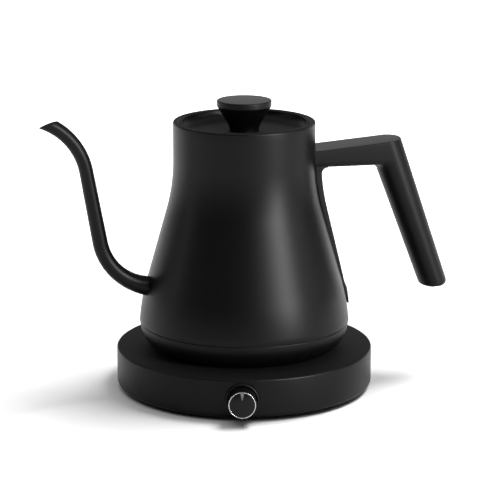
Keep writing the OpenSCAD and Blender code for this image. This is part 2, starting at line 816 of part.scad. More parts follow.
// Arm: from the body to the corner
module arm() {
    hull() {
        translate([side_r(arm_low_z) - 2, 0, (arm_low_z + arm_root_z) / 2]) rotate([0, 90, 0])
            grip_section(arm_root_z - arm_low_z);
        translate([grip_top_x - grip_top_t / 2 - 2, 0, (arm_low_z + arm_top_z) / 2])
            rotate([0, 90, 0]) grip_section(arm_top_z - arm_low_z);
        translate([grip_top_x - 4.5, 0, arm_low_z + 8]) rotate([0, 90, 0])
            grip_section(arm_top_z - arm_low_z - 4);
    }
}

// Grip: from the corner down to its free end
module grip() {
    hull() {
        translate([grip_top_x - grip_top_t / 2 + 1.7, 0, arm_top_z - 6]) rotate([0, -grip_lean, 0])
            grip_section(grip_top_t);
        translate([grip_low_x - grip_low_t / 2 - 0.6, 0, grip_low_z + 5]) rotate([0, -grip_lean, 0])
            grip_section(grip_low_t);
        translate([grip_low_x - grip_low_t / 2 + 0.2, 0, grip_low_z]) rotate([0, -5, 0])
            grip_section(grip_low_t - 3);
    }
}

// The strip against the body's side, with its screw holes
module strip() {
    zs = [for (i = [0:12]) strip_low_z + (strip_top_z - strip_low_z) * i / 12];
    function strip_t(z) = strip_low_t
        + (strip_top_t - strip_low_t)
        * pow(min(1, (z - strip_low_z) / (arm_low_z - strip_low_z)), strip_gain);
    intersection() {
        rotate_extrude() polygon(concat(
            [for (z = zs) [side_r(z) - 3, z]],
            [for (i = [12:-1:0]) [side_r(zs[i]) + strip_t(zs[i]), zs[i]]]));
        translate([0, -strip_w / 2, 0]) cube([base_r * 2, strip_w, rim_z]);
    }
}

module corner_fillet() {
    r = 6;
    x = side_r(arm_low_z - r) + strip_top_t - 0.6;
    translate([0, strip_w / 2 - 2, 0]) rotate([90, 0, 0]) linear_extrude(strip_w - 4)
        polygon(concat([[x - 1, arm_low_z + 1]], [[x - 1, arm_low_z - r]],
                       arc([x + r, arm_low_z - r], r, 180, 90), [[x + r, arm_low_z + 1]]));
}

module handle() {
    color("#171718") turned() difference() {
        union() {
            strip();
            arm();
            grip();
            corner_fillet();
        }
        side_solid(joint_gap / 2);
        for (z = strip_screw_zs) translate([0, 0, z]) rotate([0, 90, 0]) {
            cylinder(r = strip_screw_r + screw_gap, h = base_r);
            translate([0, 0, side_r(z) + strip_screw_seat]) cylinder(r = strip_screw_head_r + screw_gap, h = 9);
        }
    }
}

module handle_screws() {
    color("#2a2a2c") turned() for (z = strip_screw_zs) translate([0, 0, z]) rotate([0, 90, 0]) {
        translate([0, 0, side_r(z) + strip_screw_seat + fit])
            cylinder(r = strip_screw_head_r, h = strip_screw_head_h);
        translate([0, 0, side_r(z) + strip_screw_seat + fit - strip_screw_len])
            cylinder(r = strip_screw_r, h = strip_screw_len + 0.5);
    }
}

module handle_nuts() {
    color("#a5a6a9") turned() intersection() {
        for (z = strip_screw_zs) translate([0, 0, z]) rotate([0, 90, 0])
            translate([0, 0, side_r(z) - 10]) difference() {
                cylinder(r = handle_nut_r, h = 12);
                translate([0, 0, handle_nut_wall]) cylinder(r = strip_screw_r + fit, h = 12);
            }
        rotate_extrude() polygon(concat([[0, seam_z]], side_points(-shell_t - joint_gap / 2), [[0, rim_z]]));
    }
}

// ---------------------------------------------------------------- lid

module lid_dish() {
    color("#18181a") turned() difference() {
        rotate_extrude() polygon([
            [0, lid_floor_z - lid_t], [lid_floor_r, lid_floor_z - lid_t],
            [lid_r - lid_t, lid_floor_z - lid_t], [lid_r - lid_t, seat_z + 0.2], [lid_r, seat_z + 0.2],
            [lid_r, rim_z - 0.4], [lid_r - 0.5, rim_z - 0.2], [lid_r - 1.2, rim_z - 0.6],
            [lid_floor_r, lid_floor_z], [0, lid_floor_z]]);
        translate([0, 0, lid_floor_z - lid_t - SLOP])
            cylinder(r = knob_screw_r + screw_gap, h = lid_t + 2 * SLOP);
    }
}

module lid_plug() {
    color("#26262a") turned() difference() {
        union() {
            translate([0, 0, lid_plug_low_z]) ring(plug_in_r, plug_in_r - 1.6, plug_depth);
            translate([0, 0, lid_plug_low_z]) cylinder(r = plug_in_r, h = 1.6);
            translate([0, 0, lid_plug_low_z])
                cylinder(r = 6, h = lid_floor_z - lid_t - joint_gap - lid_plug_low_z);
        }
        translate([0, 0, lid_plug_low_z - SLOP]) cylinder(r = knob_screw_r + screw_gap, h = 40);
        translate([0, 0, lid_plug_low_z - SLOP]) cylinder(r = 4.4, h = 3 + SLOP);
    }
}

module lid_gasket() {
    color("#30302f") turned() translate([0, 0, seat_z + 0.2])
        ring(lid_r - lid_t - fit, plug_in_r - 1.6, lid_floor_z - lid_t - seat_z - 0.2 - fit);
}

module lid_knob() {
    foot_z = lid_floor_z + fit;
    flare_top_z = knob_top_z - knob_edge_h - 1;
    flare_h = flare_top_z - foot_z;
    steps = 10;
    color("#1b1b1d") turned() difference() {
        rotate_extrude() polygon(concat(
            [[0, foot_z], [knob_foot_r, foot_z]],
            [for (i = [1:steps - 1]) let (u = i / steps)
                [knob_foot_r + (knob_r - 0.6 - knob_foot_r) * pow(u, 1.75), foot_z + flare_h * u]],
            [[knob_r - 0.6, flare_top_z], [knob_r, flare_top_z + 1], [knob_r, knob_top_z - 0.5],
             [knob_r - 0.5, knob_top_z], [0, knob_top_z]]));
        translate([0, 0, foot_z - SLOP]) cylinder(r = knob_screw_r + fit, h = 12);
    }
}

module knob_screw() {
    head_z = lid_plug_low_z + 3 - 1.9;
    color("#a5a6a9") turned() translate([0, 0, head_z - 0.7]) {
        cylinder(r = 3.6, h = 1.8);
        cylinder(r = knob_screw_r, h = lid_floor_z + 9 - head_z);
    }
}

module knob_washer() {
    color("#30302f") turned() translate([0, 0, lid_plug_low_z + 3 - 0.75])
        ring(4.2, knob_screw_r + screw_gap, 0.7);
}

base_housing();
base_plate();
foot_ring();
base_screws();
connector_plug();
plug_contacts();
power_board();
board_screws();
relay();
transformer();
capacitor();
terminal_block();
control_board();
buzzer();
lead_gland();
encoder_body();
encoder_nut();
encoder_plunger();
dial_shaft();
dial_cap();
dial_ring();
dial_pointer();
dial_collar();
kettle_socket();
socket_contacts();
kettle_shell();
spout_tube();
lid_seat();
floor_plate();
heat_spreader();
heating_element();
thermal_cutout();
temperature_probe();
probe_seal();
seam_gasket();
bottom_cap();
cap_screws();
handle();
handle_screws();
handle_nuts();
lid_dish();
lid_plug();
lid_gasket();
lid_knob();
knob_screw();
knob_washer();
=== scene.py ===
"""Looks of an electric gooseneck kettle on its round powered base.

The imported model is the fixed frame, and each class below is one sub-assembly built round it. Sizes
are in millimetres unless a field says otherwise. The kettle's pieces are made with the handle along
+X and the spout along -X, and are then turned about Z to where the kettle stands.
"""

import logging
import math
from collections.abc import Callable, Iterable, Sequence
from dataclasses import dataclass
from enum import Enum
from functools import cache

import bmesh
import bpy
from mathutils import Matrix, Vector


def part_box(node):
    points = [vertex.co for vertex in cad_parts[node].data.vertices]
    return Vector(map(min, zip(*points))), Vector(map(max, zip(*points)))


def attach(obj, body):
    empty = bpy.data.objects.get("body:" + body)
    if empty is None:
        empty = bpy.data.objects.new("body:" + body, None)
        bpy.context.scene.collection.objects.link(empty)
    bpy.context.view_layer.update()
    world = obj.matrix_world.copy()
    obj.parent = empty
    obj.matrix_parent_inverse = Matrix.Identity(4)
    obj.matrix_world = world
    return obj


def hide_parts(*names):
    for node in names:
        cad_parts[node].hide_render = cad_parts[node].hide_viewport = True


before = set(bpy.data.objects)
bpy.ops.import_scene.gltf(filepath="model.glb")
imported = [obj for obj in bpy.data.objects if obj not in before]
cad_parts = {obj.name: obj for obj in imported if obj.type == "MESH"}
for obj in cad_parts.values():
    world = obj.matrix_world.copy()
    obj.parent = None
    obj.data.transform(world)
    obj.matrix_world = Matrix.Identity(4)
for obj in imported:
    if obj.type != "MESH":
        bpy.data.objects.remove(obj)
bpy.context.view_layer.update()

LOG = logging.getLogger("kettle")
MM = 0.001
SPOUT_SIDE = Matrix.Rotation(math.pi, 4, "Z")
SMOOTH_BELOW = 33.0     # degrees: an edge that turns less than this is shaded smooth

Spot = tuple[float, float]
Corner = tuple[float, float, float]


# ---------------------------------------------------------------- finishes


class Slot(Enum):
    """The record's material slots."""

    COATED_STEEL = "coated_steel"
    BLACK_MOULDING = "black_moulding"
    BASE_MOULDING = "base_moulding"
    DARK_PLASTIC = "dark_plastic"
    DIAL_PLASTIC = "dial_plastic"
    RUBBER = "rubber"
    SILICONE = "silicone"
    RED_SILICONE = "red_silicone"
    STAINLESS = "stainless"
    ZINC_SCREW = "zinc_screw"
    ALUMINIUM = "aluminium"
    ELEMENT_SHEATH = "element_sheath"
    CONTACT_BRASS = "contact_brass"
    CIRCUIT_BOARD = "circuit_board"
    RELAY_PLASTIC = "relay_plastic"
    COIL_TAPE = "coil_tape"
    TERMINAL_PLASTIC = "terminal_plastic"
    CERAMIC = "ceramic"
    CHROME = "chrome"
    POINTER_METAL = "pointer_metal"


class Grain(Enum):
    """How a finish's grain lies, as its stretch along X, Y and Z."""

    SPRAYED = (1.0, 1.0, 1.0)
    MOULDED = (1.0, 1.0, 0.8)
    BRUSHED_UP = (1.0, 1.0, 0.04)
    DRAWN_ACROSS = (0.05, 1.0, 1.0)


@dataclass(frozen=True)
class Finish:
    """One surface finish, built as a node material at its real scale.

    Attributes:
        tone: The base colour, linear.
        gloss: The lowest and the highest roughness over the surface.
        grain: How the grain lies.
        grain_size: Size of one grain, in millimetres.
        grain_depth: Depth of the grain, in millimetres.
        drift: How far the tone drifts over a few centimetres, as a share of it.
        metallic: 1 for bare metal, 0 for anything else.
        specular: Strength of the reflection from a surface that isn't metal.
        coat: Strength of a clear coat.
        level_gloss: How much rougher it is where it lies level, facing up.
    """

    tone: tuple[float, float, float]
    gloss: Spot
    grain: Grain = Grain.MOULDED
    grain_size: float = 0.4
    grain_depth: float = 0.01
    drift: float = 0.12
    metallic: float = 0.0
    specular: float = 0.5
    coat: float = 0.0
    level_gloss: float = 0.0

    def material(self, name: str) -> bpy.types.Material:
        """Builds the finish's material, once.

        Args:
            name: Name of the material.

        Returns:
            The material, the same one each time for a name.
        """
        known = bpy.data.materials.get(f"finish_{name}")
        if known:
            return known
        made = bpy.data.materials.new(f"finish_{name}")
        made.use_nodes = True
        tree = made.node_tree
        shader = tree.nodes["Principled BSDF"]
        shader.inputs["Metallic"].default_value = self.metallic
        shader.inputs["Specular IOR Level"].default_value = self.specular
        shader.inputs["Coat Weight"].default_value = self.coat
        where = tree.nodes.new("ShaderNodeTexCoord")
        lay = tree.nodes.new("ShaderNodeMapping")
        lay.inputs["Scale"].default_value = self.grain.value
        tree.links.new(where.outputs["Object"], lay.inputs["Vector"])
        fine = self._noise(tree, lay.outputs["Vector"], self.grain_size, 4.0)
        cloud = self._noise(tree, where.outputs["Object"], 24.0, 2.0)
        self._tone(tree, cloud, shader.inputs["Base Color"])
        self._roughness(tree, fine, shader.inputs["Roughness"])
        bump = tree.nodes.new("ShaderNodeBump")
        bump.inputs["Distance"].default_value = self.grain_depth * MM
        tree.links.new(fine, bump.inputs["Height"])
        tree.links.new(bump.outputs["Normal"], shader.inputs["Normal"])
        return made

    def _noise(
        self,
        tree: bpy.types.NodeTree,
        vector: bpy.types.NodeSocket,
        size: float,
        detail: float,
    ) -> bpy.types.NodeSocket:
        """Adds a noise.

        Args:
            tree: The material's nodes.
            vector: Where on the piece it is read.
            size: Size of its features, in millimetres.
            detail: How many finer layers it has.

        Returns:
            The noise's value.
        """
        noise = tree.nodes.new("ShaderNodeTexNoise")
        noise.inputs["Scale"].default_value = 1.0 / (size * MM)
        noise.inputs["Detail"].default_value = detail
        tree.links.new(vector, noise.inputs["Vector"])
        return noise.outputs["Fac"]

    def _tone(
        self,
        tree: bpy.types.NodeTree,
        cloud: bpy.types.NodeSocket,
        target: bpy.types.NodeSocket,
    ) -> None:
        """Drifts the base colour with a broad noise.

        Args:
            tree: The material's nodes.
            cloud: The noise.
            target: The shader's colour socket.
        """
        ramp = tree.nodes.new("ShaderNodeValToRGB")
        ends = ramp.color_ramp.elements
        ends[0].position, ends[1].position = 0.3, 0.7
        ends[0].color = (*(part * (1 - self.drift) for part in self.tone), 1.0)
        ends[1].color = (*(part * (1 + self.drift) for part in self.tone), 1.0)
        tree.links.new(cloud, ramp.inputs["Fac"])
        tree.links.new(ramp.outputs["Color"], target)

    def _roughness(
        self,
        tree: bpy.types.NodeTree,
        fine: bpy.types.NodeSocket,
        target: bpy.types.NodeSocket,
    ) -> None:
        """Varies the roughness with the grain, and with how level the surface lies.

        Args:
            tree: The material's nodes.
            fine: The grain's noise.
            target: The shader's roughness socket.
        """
        spread = tree.nodes.new("ShaderNodeMapRange")
        spread.inputs["From Min"].default_value = 0.3
        spread.inputs["From Max"].default_value = 0.7
        spread.inputs["To Min"].default_value = self.gloss[0]
        spread.inputs["To Max"].default_value = self.gloss[1]
        tree.links.new(fine, spread.inputs["Value"])
        facing = tree.nodes.new("ShaderNodeNewGeometry")
        axes = tree.nodes.new("ShaderNodeSeparateXYZ")
        level = tree.nodes.new("ShaderNodeMapRange")
        level.inputs["From Min"].default_value = 0.7
        level.inputs["From Max"].default_value = 0.98
        level.inputs["To Max"].default_value = self.level_gloss
        total = tree.nodes.new("ShaderNodeMath")
        tree.links.new(facing.outputs["Normal"], axes.inputs["Vector"])
        tree.links.new(axes.outputs["Z"], level.inputs["Value"])
        tree.links.new(spread.outputs["Result"], total.inputs[0])
        tree.links.new(level.outputs["Result"], total.inputs[1])
        tree.links.new(total.outputs["Value"], target)


FINISHES: dict[Slot, Finish] = {
    Slot.COATED_STEEL: Finish(
        (0.0012, 0.0012, 0.0013), (0.36, 0.44), Grain.SPRAYED, 0.45, 0.006, specular=0.14,
        level_gloss=0.35,
    ),
    Slot.BLACK_MOULDING: Finish(
        (0.0014, 0.0014, 0.0015), (0.4, 0.48), Grain.MOULDED, 0.35, 0.007, specular=0.15
    ),
    Slot.BASE_MOULDING: Finish(
        (0.0014, 0.0014, 0.0015), (0.36, 0.44), Grain.MOULDED, 0.4, 0.006, specular=0.14,
        level_gloss=0.35,
    ),
    Slot.DARK_PLASTIC: Finish((0.012, 0.012, 0.013), (0.45, 0.6), Grain.MOULDED, 0.5, 0.015),
    Slot.DIAL_PLASTIC: Finish(
        (0.0016, 0.0016, 0.0018), (0.3, 0.4), Grain.MOULDED, 0.3, 0.005, specular=0.2
    ),
    Slot.RUBBER: Finish((0.01, 0.01, 0.01), (0.7, 0.85), Grain.SPRAYED, 0.6, 0.02, specular=0.3),
    Slot.SILICONE: Finish((0.03, 0.03, 0.031), (0.5, 0.65), Grain.SPRAYED, 0.6, 0.008, specular=0.4),
    Slot.RED_SILICONE: Finish((0.22, 0.03, 0.018), (0.45, 0.6), Grain.SPRAYED, 0.6, 0.008),
    Slot.STAINLESS: Finish(
        (0.52, 0.52, 0.53), (0.24, 0.38), Grain.BRUSHED_UP, 0.25, 0.003, 0.06, metallic=1.0
    ),
    Slot.ZINC_SCREW: Finish(
        (0.5, 0.51, 0.53), (0.28, 0.42), Grain.SPRAYED, 0.3, 0.004, 0.1, metallic=1.0
    ),
    Slot.ALUMINIUM: Finish(
        (0.66, 0.66, 0.68), (0.3, 0.45), Grain.DRAWN_ACROSS, 0.3, 0.004, 0.06, metallic=1.0
    ),
    Slot.ELEMENT_SHEATH: Finish(
        (0.2, 0.15, 0.11), (0.4, 0.6), Grain.SPRAYED, 0.8, 0.01, 0.3, metallic=1.0
    ),
    Slot.CONTACT_BRASS: Finish(
        (0.72, 0.5, 0.2), (0.2, 0.34), Grain.DRAWN_ACROSS, 0.3, 0.003, 0.1, metallic=1.0
    ),
    Slot.CIRCUIT_BOARD: Finish((0.012, 0.09, 0.03), (0.3, 0.45), Grain.SPRAYED, 1.2, 0.01, 0.25),
    Slot.RELAY_PLASTIC: Finish((0.015, 0.022, 0.03), (0.3, 0.45), Grain.MOULDED, 0.5, 0.008),
    Slot.COIL_TAPE: Finish((0.35, 0.24, 0.04), (0.4, 0.55), Grain.BRUSHED_UP, 0.8, 0.02, 0.2),
    Slot.TERMINAL_PLASTIC: Finish((0.02, 0.11, 0.27), (0.35, 0.5), Grain.MOULDED, 0.5, 0.008),
    Slot.CERAMIC: Finish((0.62, 0.58, 0.48), (0.35, 0.55), Grain.SPRAYED, 0.9, 0.012, 0.08),
    Slot.CHROME: Finish(
        (0.64, 0.64, 0.65), (0.16, 0.24), Grain.SPRAYED, 0.4, 0.001, 0.04, metallic=1.0
    ),
    Slot.POINTER_METAL: Finish(
        (0.16, 0.16, 0.165), (0.3, 0.42), Grain.BRUSHED_UP, 0.2, 0.002, 0.06, metallic=1.0
    ),
}


# ---------------------------------------------------------------- shaping


@cache
def in_mm(node: str) -> tuple[Vector, Vector]:
    """Returns the lowest and the highest corner of a CAD node, in millimetres."""
    low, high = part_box(node)
    return low / MM, high / MM


@cache
def kettle_turn() -> Matrix:
    """Reads how far the kettle is turned on its base, from where its handle's nuts are."""
    low, high = in_mm("handle_nuts")
    middle = low + high
    return Matrix.Rotation(math.atan2(middle.y, middle.x), 4, "Z")


def arc(centre: Spot, radius: float, start: float, end: float, step: float = 2.0) -> list[Spot]:
    """Lays points along an arc.

    Args:
        centre: The arc's centre.
        radius: Its radius.
        start: Angle of its first point, in degrees.
        end: Angle of its last point.
        step: Angle between points, at most.

    Returns:
        The points, both ends among them.
    """
    count = max(2, math.ceil(abs(end - start) / step))
    angles = [math.radians(start + (end - start) * i / count) for i in range(count + 1)]
    return [(centre[0] + radius * math.cos(a), centre[1] + radius * math.sin(a)) for a in angles]


def rounded(corners: Sequence[Corner], points: int = 7) -> list[Spot]:
    """Rounds the corners of a closed outline.

    Args:
        corners: Each corner's two coordinates and its rounding; 0 leaves it sharp.
        points: How many points a round corner gets.

    Returns:
        The outline, with as many points for each set of corners with the same roundings above 0.
    """
    outline: list[Spot] = []
    for index, (across, up, radius) in enumerate(corners):
        if radius <= 0:
            outline.append((across, up))
            continue
        here = Vector((across, up))
        back = (Vector(corners[index - 1][:2]) - here).normalized()
        ahead = (Vector(corners[(index + 1) % len(corners)][:2]) - here).normalized()
        half = back.angle(ahead) / 2
        centre = here + (back + ahead).normalized() * (radius / math.sin(half))
        first = here + back * (radius / math.tan(half)) - centre
        last = here + ahead * (radius / math.tan(half)) - centre
        start = math.atan2(first.y, first.x)
        sweep = (math.atan2(last.y, last.x) - start + math.pi) % math.tau - math.pi
        for i in range(points):
            angle = start + sweep * i / (points - 1)
            outline.append(
                (centre.x + radius * math.cos(angle), centre.y + radius * math.sin(angle))
            )
    return outline


def lathe(
    outline: Sequence[Spot],
    sides: int = 192,
    ripple: Callable[[float, float, float], float] | None = None,
) -> bmesh.types.BMesh:
    """Spins a closed outline about Z into a solid.

    Args:
        outline: (radius, height) points in order round the section.
        sides: How many flat strips go round the axis.
        ripple: Change of radius at a radius, a height and an angle in radians.

    Returns:
        The solid.
    """
    solid = bmesh.new()
    rings = []
    for radius, height in outline:
        if radius < MM:
            rings.append([solid.verts.new((0, 0, height * MM))] * sides)
            continue
        ring = []
        for k in range(sides):
            angle = math.tau * k / sides
            reach = radius + (ripple(radius, height, angle) if ripple else 0.0)
            spot = (reach * math.cos(angle), reach * math.sin(angle), height)
            ring.append(solid.verts.new(Vector(spot) * MM))
        rings.append(ring)
    for lower, upper in zip(rings, rings[1:] + rings[:1]):
        for k in range(sides):
            m = (k + 1) % sides
            corners = dict.fromkeys((lower[k], lower[m], upper[m], upper[k]))
            if len(corners) > 2:
                solid.faces.new(corners)
    return solid


def loft(sections: Sequence[Sequence[Vector]]) -> bmesh.types.BMesh:
    """Joins closed sections into a solid with flat ends.

    Args:
        sections: Rings of points, in millimetres, all with the same count.

    Returns:
        The solid.
    """
    solid = bmesh.new()
    rings = [[solid.verts.new(Vector(spot) * MM) for spot in section] for section in sections]
    count = len(rings[0])
    for near, far in zip(rings, rings[1:]):
        for k in range(count):
            m = (k + 1) % count
            solid.faces.new((near[k], near[m], far[m], far[k]))
    for end in (rings[0], rings[-1]):
        solid.faces.new(end)
    return solid


def as_object(name: str, solid: bmesh.types.BMesh, place: Matrix | None = None) -> bpy.types.Object:
    """Turns a solid into an object with smooth shading between its creases.

    Args:
        name: Name of the object.
        solid: The solid, which is used up.
        place: Where it goes, from the axes that it was made in.

    Returns:
        The object.
    """
    bmesh.ops.remove_doubles(solid, verts=solid.verts, dist=1e-7)
    bmesh.ops.recalc_face_normals(solid, faces=solid.faces)
    mesh = bpy.data.meshes.new(name)
    solid.to_mesh(mesh)
    solid.free()
    mesh.transform(place or Matrix.Identity(4))
    made = bpy.data.objects.new(name, mesh)
    bpy.context.scene.collection.objects.link(made)
    crease(made)
    return made


def crease(part: bpy.types.Object) -> None:
    """Shades a part smooth, with its sharp edges kept.

    Args:
        part: The part.
    """
    for face in part.data.polygons:
        face.use_smooth = True
    part.data.set_sharp_from_angle(angle=math.radians(SMOOTH_BELOW))


def carve(part: bpy.types.Object, tool: bpy.types.Object, weld: bool = False) -> None:
    """Cuts one solid out of a part, or welds it on.

    Args:
        part: The part that changes.
        tool: The other solid, which is used up.
        weld: Whether it is added and not taken away.
    """
    cut = part.modifiers.new("carve", "BOOLEAN")
    cut.operation = "UNION" if weld else "DIFFERENCE"
    cut.solver = "EXACT"
    cut.object = tool
    shaped = part.evaluated_get(bpy.context.evaluated_depsgraph_get())
    part.data = bpy.data.meshes.new_from_object(shaped)
    part.modifiers.clear()
    bpy.data.objects.remove(tool)
    crease(part)


def rod(radius: float, low: float, high: float, place: Matrix | None = None) -> bpy.types.Object:
    """Makes a round rod, for cutting and welding.

    Args:
        radius: Its radius.
        low: Where it starts along its own axis.
        high: Where it ends.
        place: Where it goes.

    Returns:
        The rod.
    """
    return as_object("rod", lathe([(0, low), (radius, low), (radius, high), (0, high)], 96), place)


def shift(across: float, along: float, up: float) -> Matrix:
    """Returns the move by these millimetres along X, Y and Z."""
    return Matrix.Translation(Vector((across, along, up)) * MM)


def dress(
    part: bpy.types.Object, body: str, slot: Slot, stands_for: Iterable[str] = ()
) -> bpy.types.Object:
    """Gives a finished part its finish and its body, and hides the CAD nodes that it stands for.

    Args:
        part: The part.
        body: The CAD body that it moves with.
        slot: The slot that its finish comes from.
        stands_for: The CAD nodes that it replaces.

    Returns:
        The part.
    """
    part.data.materials.clear()
    part.data.materials.append(FINISHES[slot].material(slot.value))
    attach(part, body)
    names = list(stands_for)
    if names:
        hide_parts(*names)
    LOG.info("%s rides on %s and stands for %s", part.name, body, ", ".join(names) or "nothing")
    return part


@dataclass(frozen=True)
class Screw:
    """A pan-headed screw with a cross in its head.

    Attributes:
        head_r: Radius of the head.
        head_h: Height of the head.
        shank_r: Radius of the shank.
        length: Length of the shank.
        cross_w: Width of the cross's slots.
    """

    head_r: float
    head_h: float
    shank_r: float
    length: float
    cross_w: float = 0.8

    def build(self, name: str, place: Matrix) -> bpy.types.Object:
        """Makes the screw with the underside of its head at the origin and its head towards +Z.

        Args:
            name: Name of the object.
            place: Where it goes.

        Returns:
            The screw.
        """
        tip = -self.length
        outline = rounded([
            (0, tip, 0), (self.shank_r, tip, self.shank_r * 0.4), (self.shank_r, 0, 0),
            (self.head_r, 0, 0.15), (self.head_r, self.head_h, self.head_h * 0.55), (0, self.head_h, 0),
        ])
        made = as_object(name, lathe(outline, 64))
        for turn in (0, math.pi / 2):
            reach = self.head_r * 0.62
            half = self.cross_w / 2
            slot = [Vector((x, y, 0)) for x, y in
                    ((-reach, -half), (reach, -half), (reach, half), (-reach, half))]
            tool = loft([[spot + Vector((0, 0, z)) for spot in slot]
                         for z in (self.head_h * 0.3, self.head_h + 1)])
            carve(made, as_object("cross", tool, Matrix.Rotation(turn, 4, "Z")))
        made.data.transform(place)
        return made


def joined(name: str, parts: Sequence[bpy.types.Object]) -> bpy.types.Object:
    """Joins like parts into one object.

    Args:
        name: Name of the result.
        parts: The parts, which are used up.

    Returns:
        The one object.
    """
    whole = bmesh.new()
    for part in parts:
        whole.from_mesh(part.data)
        bpy.data.objects.remove(part)
    return as_object(name, whole)


# ---------------------------------------------------------------- base


@dataclass(frozen=True)
class BaseUnit:
    """The powered base: housing, foot ring, screws and the gland at the back."""

    wall: float = 2.4
    deck: float = 2.6
    top_round: float = 1.3
    low_round: float = 3.5
    deck_hole_in: float = 6.6
    plate_gap: float = 0.3
    plate_t: float = 2.5
    foot_w: float = 7.0
    foot_groove: float = 0.5
    screw_ring_r: float = 60.0
    screw_head_h: float = 1.4
    boss_r: float = 4.0
    collar_gap: float = 0.12
    gland_pad_r: float = 8.6
    gland_pad_out: float = 0.4
    gland_neck_r: float = 5.6
    gland_bore_r: float = 3.4
    gland_flange_t: float = 3.3
    gland_face_t: float = 1.7

    def build(self) -> None:
        """Builds the base's pieces."""
        self._housing()
        self._foot()
        self._screws()
        self._gland()

    def _housing(self) -> None:
        """Turns the housing, with its collar bore, its screw bosses and its rear pad."""
        low, high = in_mm("base_housing")
        socket_low, socket_high = in_mm("kettle_socket")
        hole_r = (socket_high.x - socket_low.x) / 2 - self.deck_hole_in
        plate_r = in_mm("base_plate")[1].x + self.plate_gap
        outer = high.x
        inner = outer - self.wall
        under_deck = high.z - self.deck
        outline = rounded([
            (hole_r, under_deck, 0.2), (hole_r, high.z, 0.5), (outer, high.z, self.top_round),
            (outer, low.z, self.low_round), (plate_r, low.z, 0.3), (plate_r, low.z + 1, 0),
            (inner, low.z + self.low_round, 0), (inner, under_deck, 1.5),
        ])
        housing = as_object("housing", lathe(outline, 288))
        plate_top = in_mm("base_plate")[0].z + self.plate_t
        for quarter in range(4):
            boss = rod(self.boss_r, plate_top, under_deck + 1, self._screw_place(quarter, 0))
            carve(housing, boss, weld=True)
        collar_low, collar_high = in_mm("dial_collar")
        middle = (collar_low.z + collar_high.z) / 2
        collar_r = (collar_high.x - collar_low.x) / 2
        to_front = shift(0, 0, middle) @ Matrix.Rotation(math.pi / 2, 4, "X")
        carve(housing, rod(collar_r + self.collar_gap, -collar_high.y, outer + 5, to_front))
        to_back = shift(0, 0, middle) @ Matrix.Rotation(-math.pi / 2, 4, "X")
        pad = rod(self.gland_pad_r, outer - 5, outer + self.gland_pad_out, to_back)
        carve(housing, pad, weld=True)
        carve(housing, rod(self.gland_neck_r + 0.1, outer - 12, outer + 5, to_back))
        dress(housing, "base", Slot.BASE_MOULDING, ["base_housing"])

    def _screw_place(self, quarter: int, height: float) -> Matrix:
        """Returns the place of one of the four screws, at a height."""
        turn = Matrix.Rotation(math.radians(45 + 90 * quarter), 4, "Z")
        return turn @ shift(self.screw_ring_r, 0, height)

    def _foot(self) -> None:
        """Turns the rubber foot ring, with two shallow grooves under it."""
        low, high = in_mm("foot_ring")
        outer = high.x
        inner = outer - self.foot_w
        roof = low.z + self.foot_groove
        tread = [(outer, low.z, 0.5)]
        for share in (0.3, 0.64):
            right, left = outer - self.foot_w * share, outer - self.foot_w * (share + 0.12)
            tread += [(right, low.z, 0), (right, roof, 0), (left, roof, 0), (left, low.z, 0)]
        corners = [(inner, high.z, 0), (outer, high.z, 0), *tread, (inner, low.z, 0.5)]
        foot = as_object("foot", lathe(rounded(corners), 192))
        dress(foot, "base", Slot.RUBBER, ["foot_ring"])

    def _screws(self) -> None:
        """Sets the four screws under the base."""
        low, high = in_mm("base_screws")
        screw = Screw(2.9, self.screw_head_h, 1.4, high.z - low.z - self.screw_head_h)
        parts = []
        for quarter in range(4):
            place = self._screw_place(quarter, low.z + self.screw_head_h)
            parts.append(screw.build("screw", place @ Matrix.Rotation(math.pi, 4, "X")))
        dress(joined("under_screws", parts), "base", Slot.ZINC_SCREW, ["base_screws"])

    def _gland(self) -> None:
        """Turns the lead's gland, with two ribs round its neck."""
        low, high = in_mm("lead_gland")
        middle = (low.z + high.z) / 2
        flange_r = (high.z - low.z) / 2
        length = high.y - low.y
        bore, neck = self.gland_bore_r, self.gland_neck_r
        inside, face = self.gland_flange_t, length - self.gland_face_t
        lead_in_r, lead_in = bore + 0.9, length - 0.8
        outline = rounded([
            (bore, 0, 0.2), (flange_r, 0, 0.3), (flange_r, inside, 0), (neck, inside, 0),
            (neck, face, 0), (flange_r, face, 0.2), (flange_r, length, 0.7),
            (lead_in_r, length, 0.3), (lead_in_r, lead_in, 0.1), (bore, lead_in, 0.2),
        ])
        place = shift(0, low.y, middle) @ Matrix.Rotation(-math.pi / 2, 4, "X")
        dress(as_object("gland", lathe(outline, 96), place), "base", Slot.RUBBER, ["lead_gland"])


# ---------------------------------------------------------------- dial


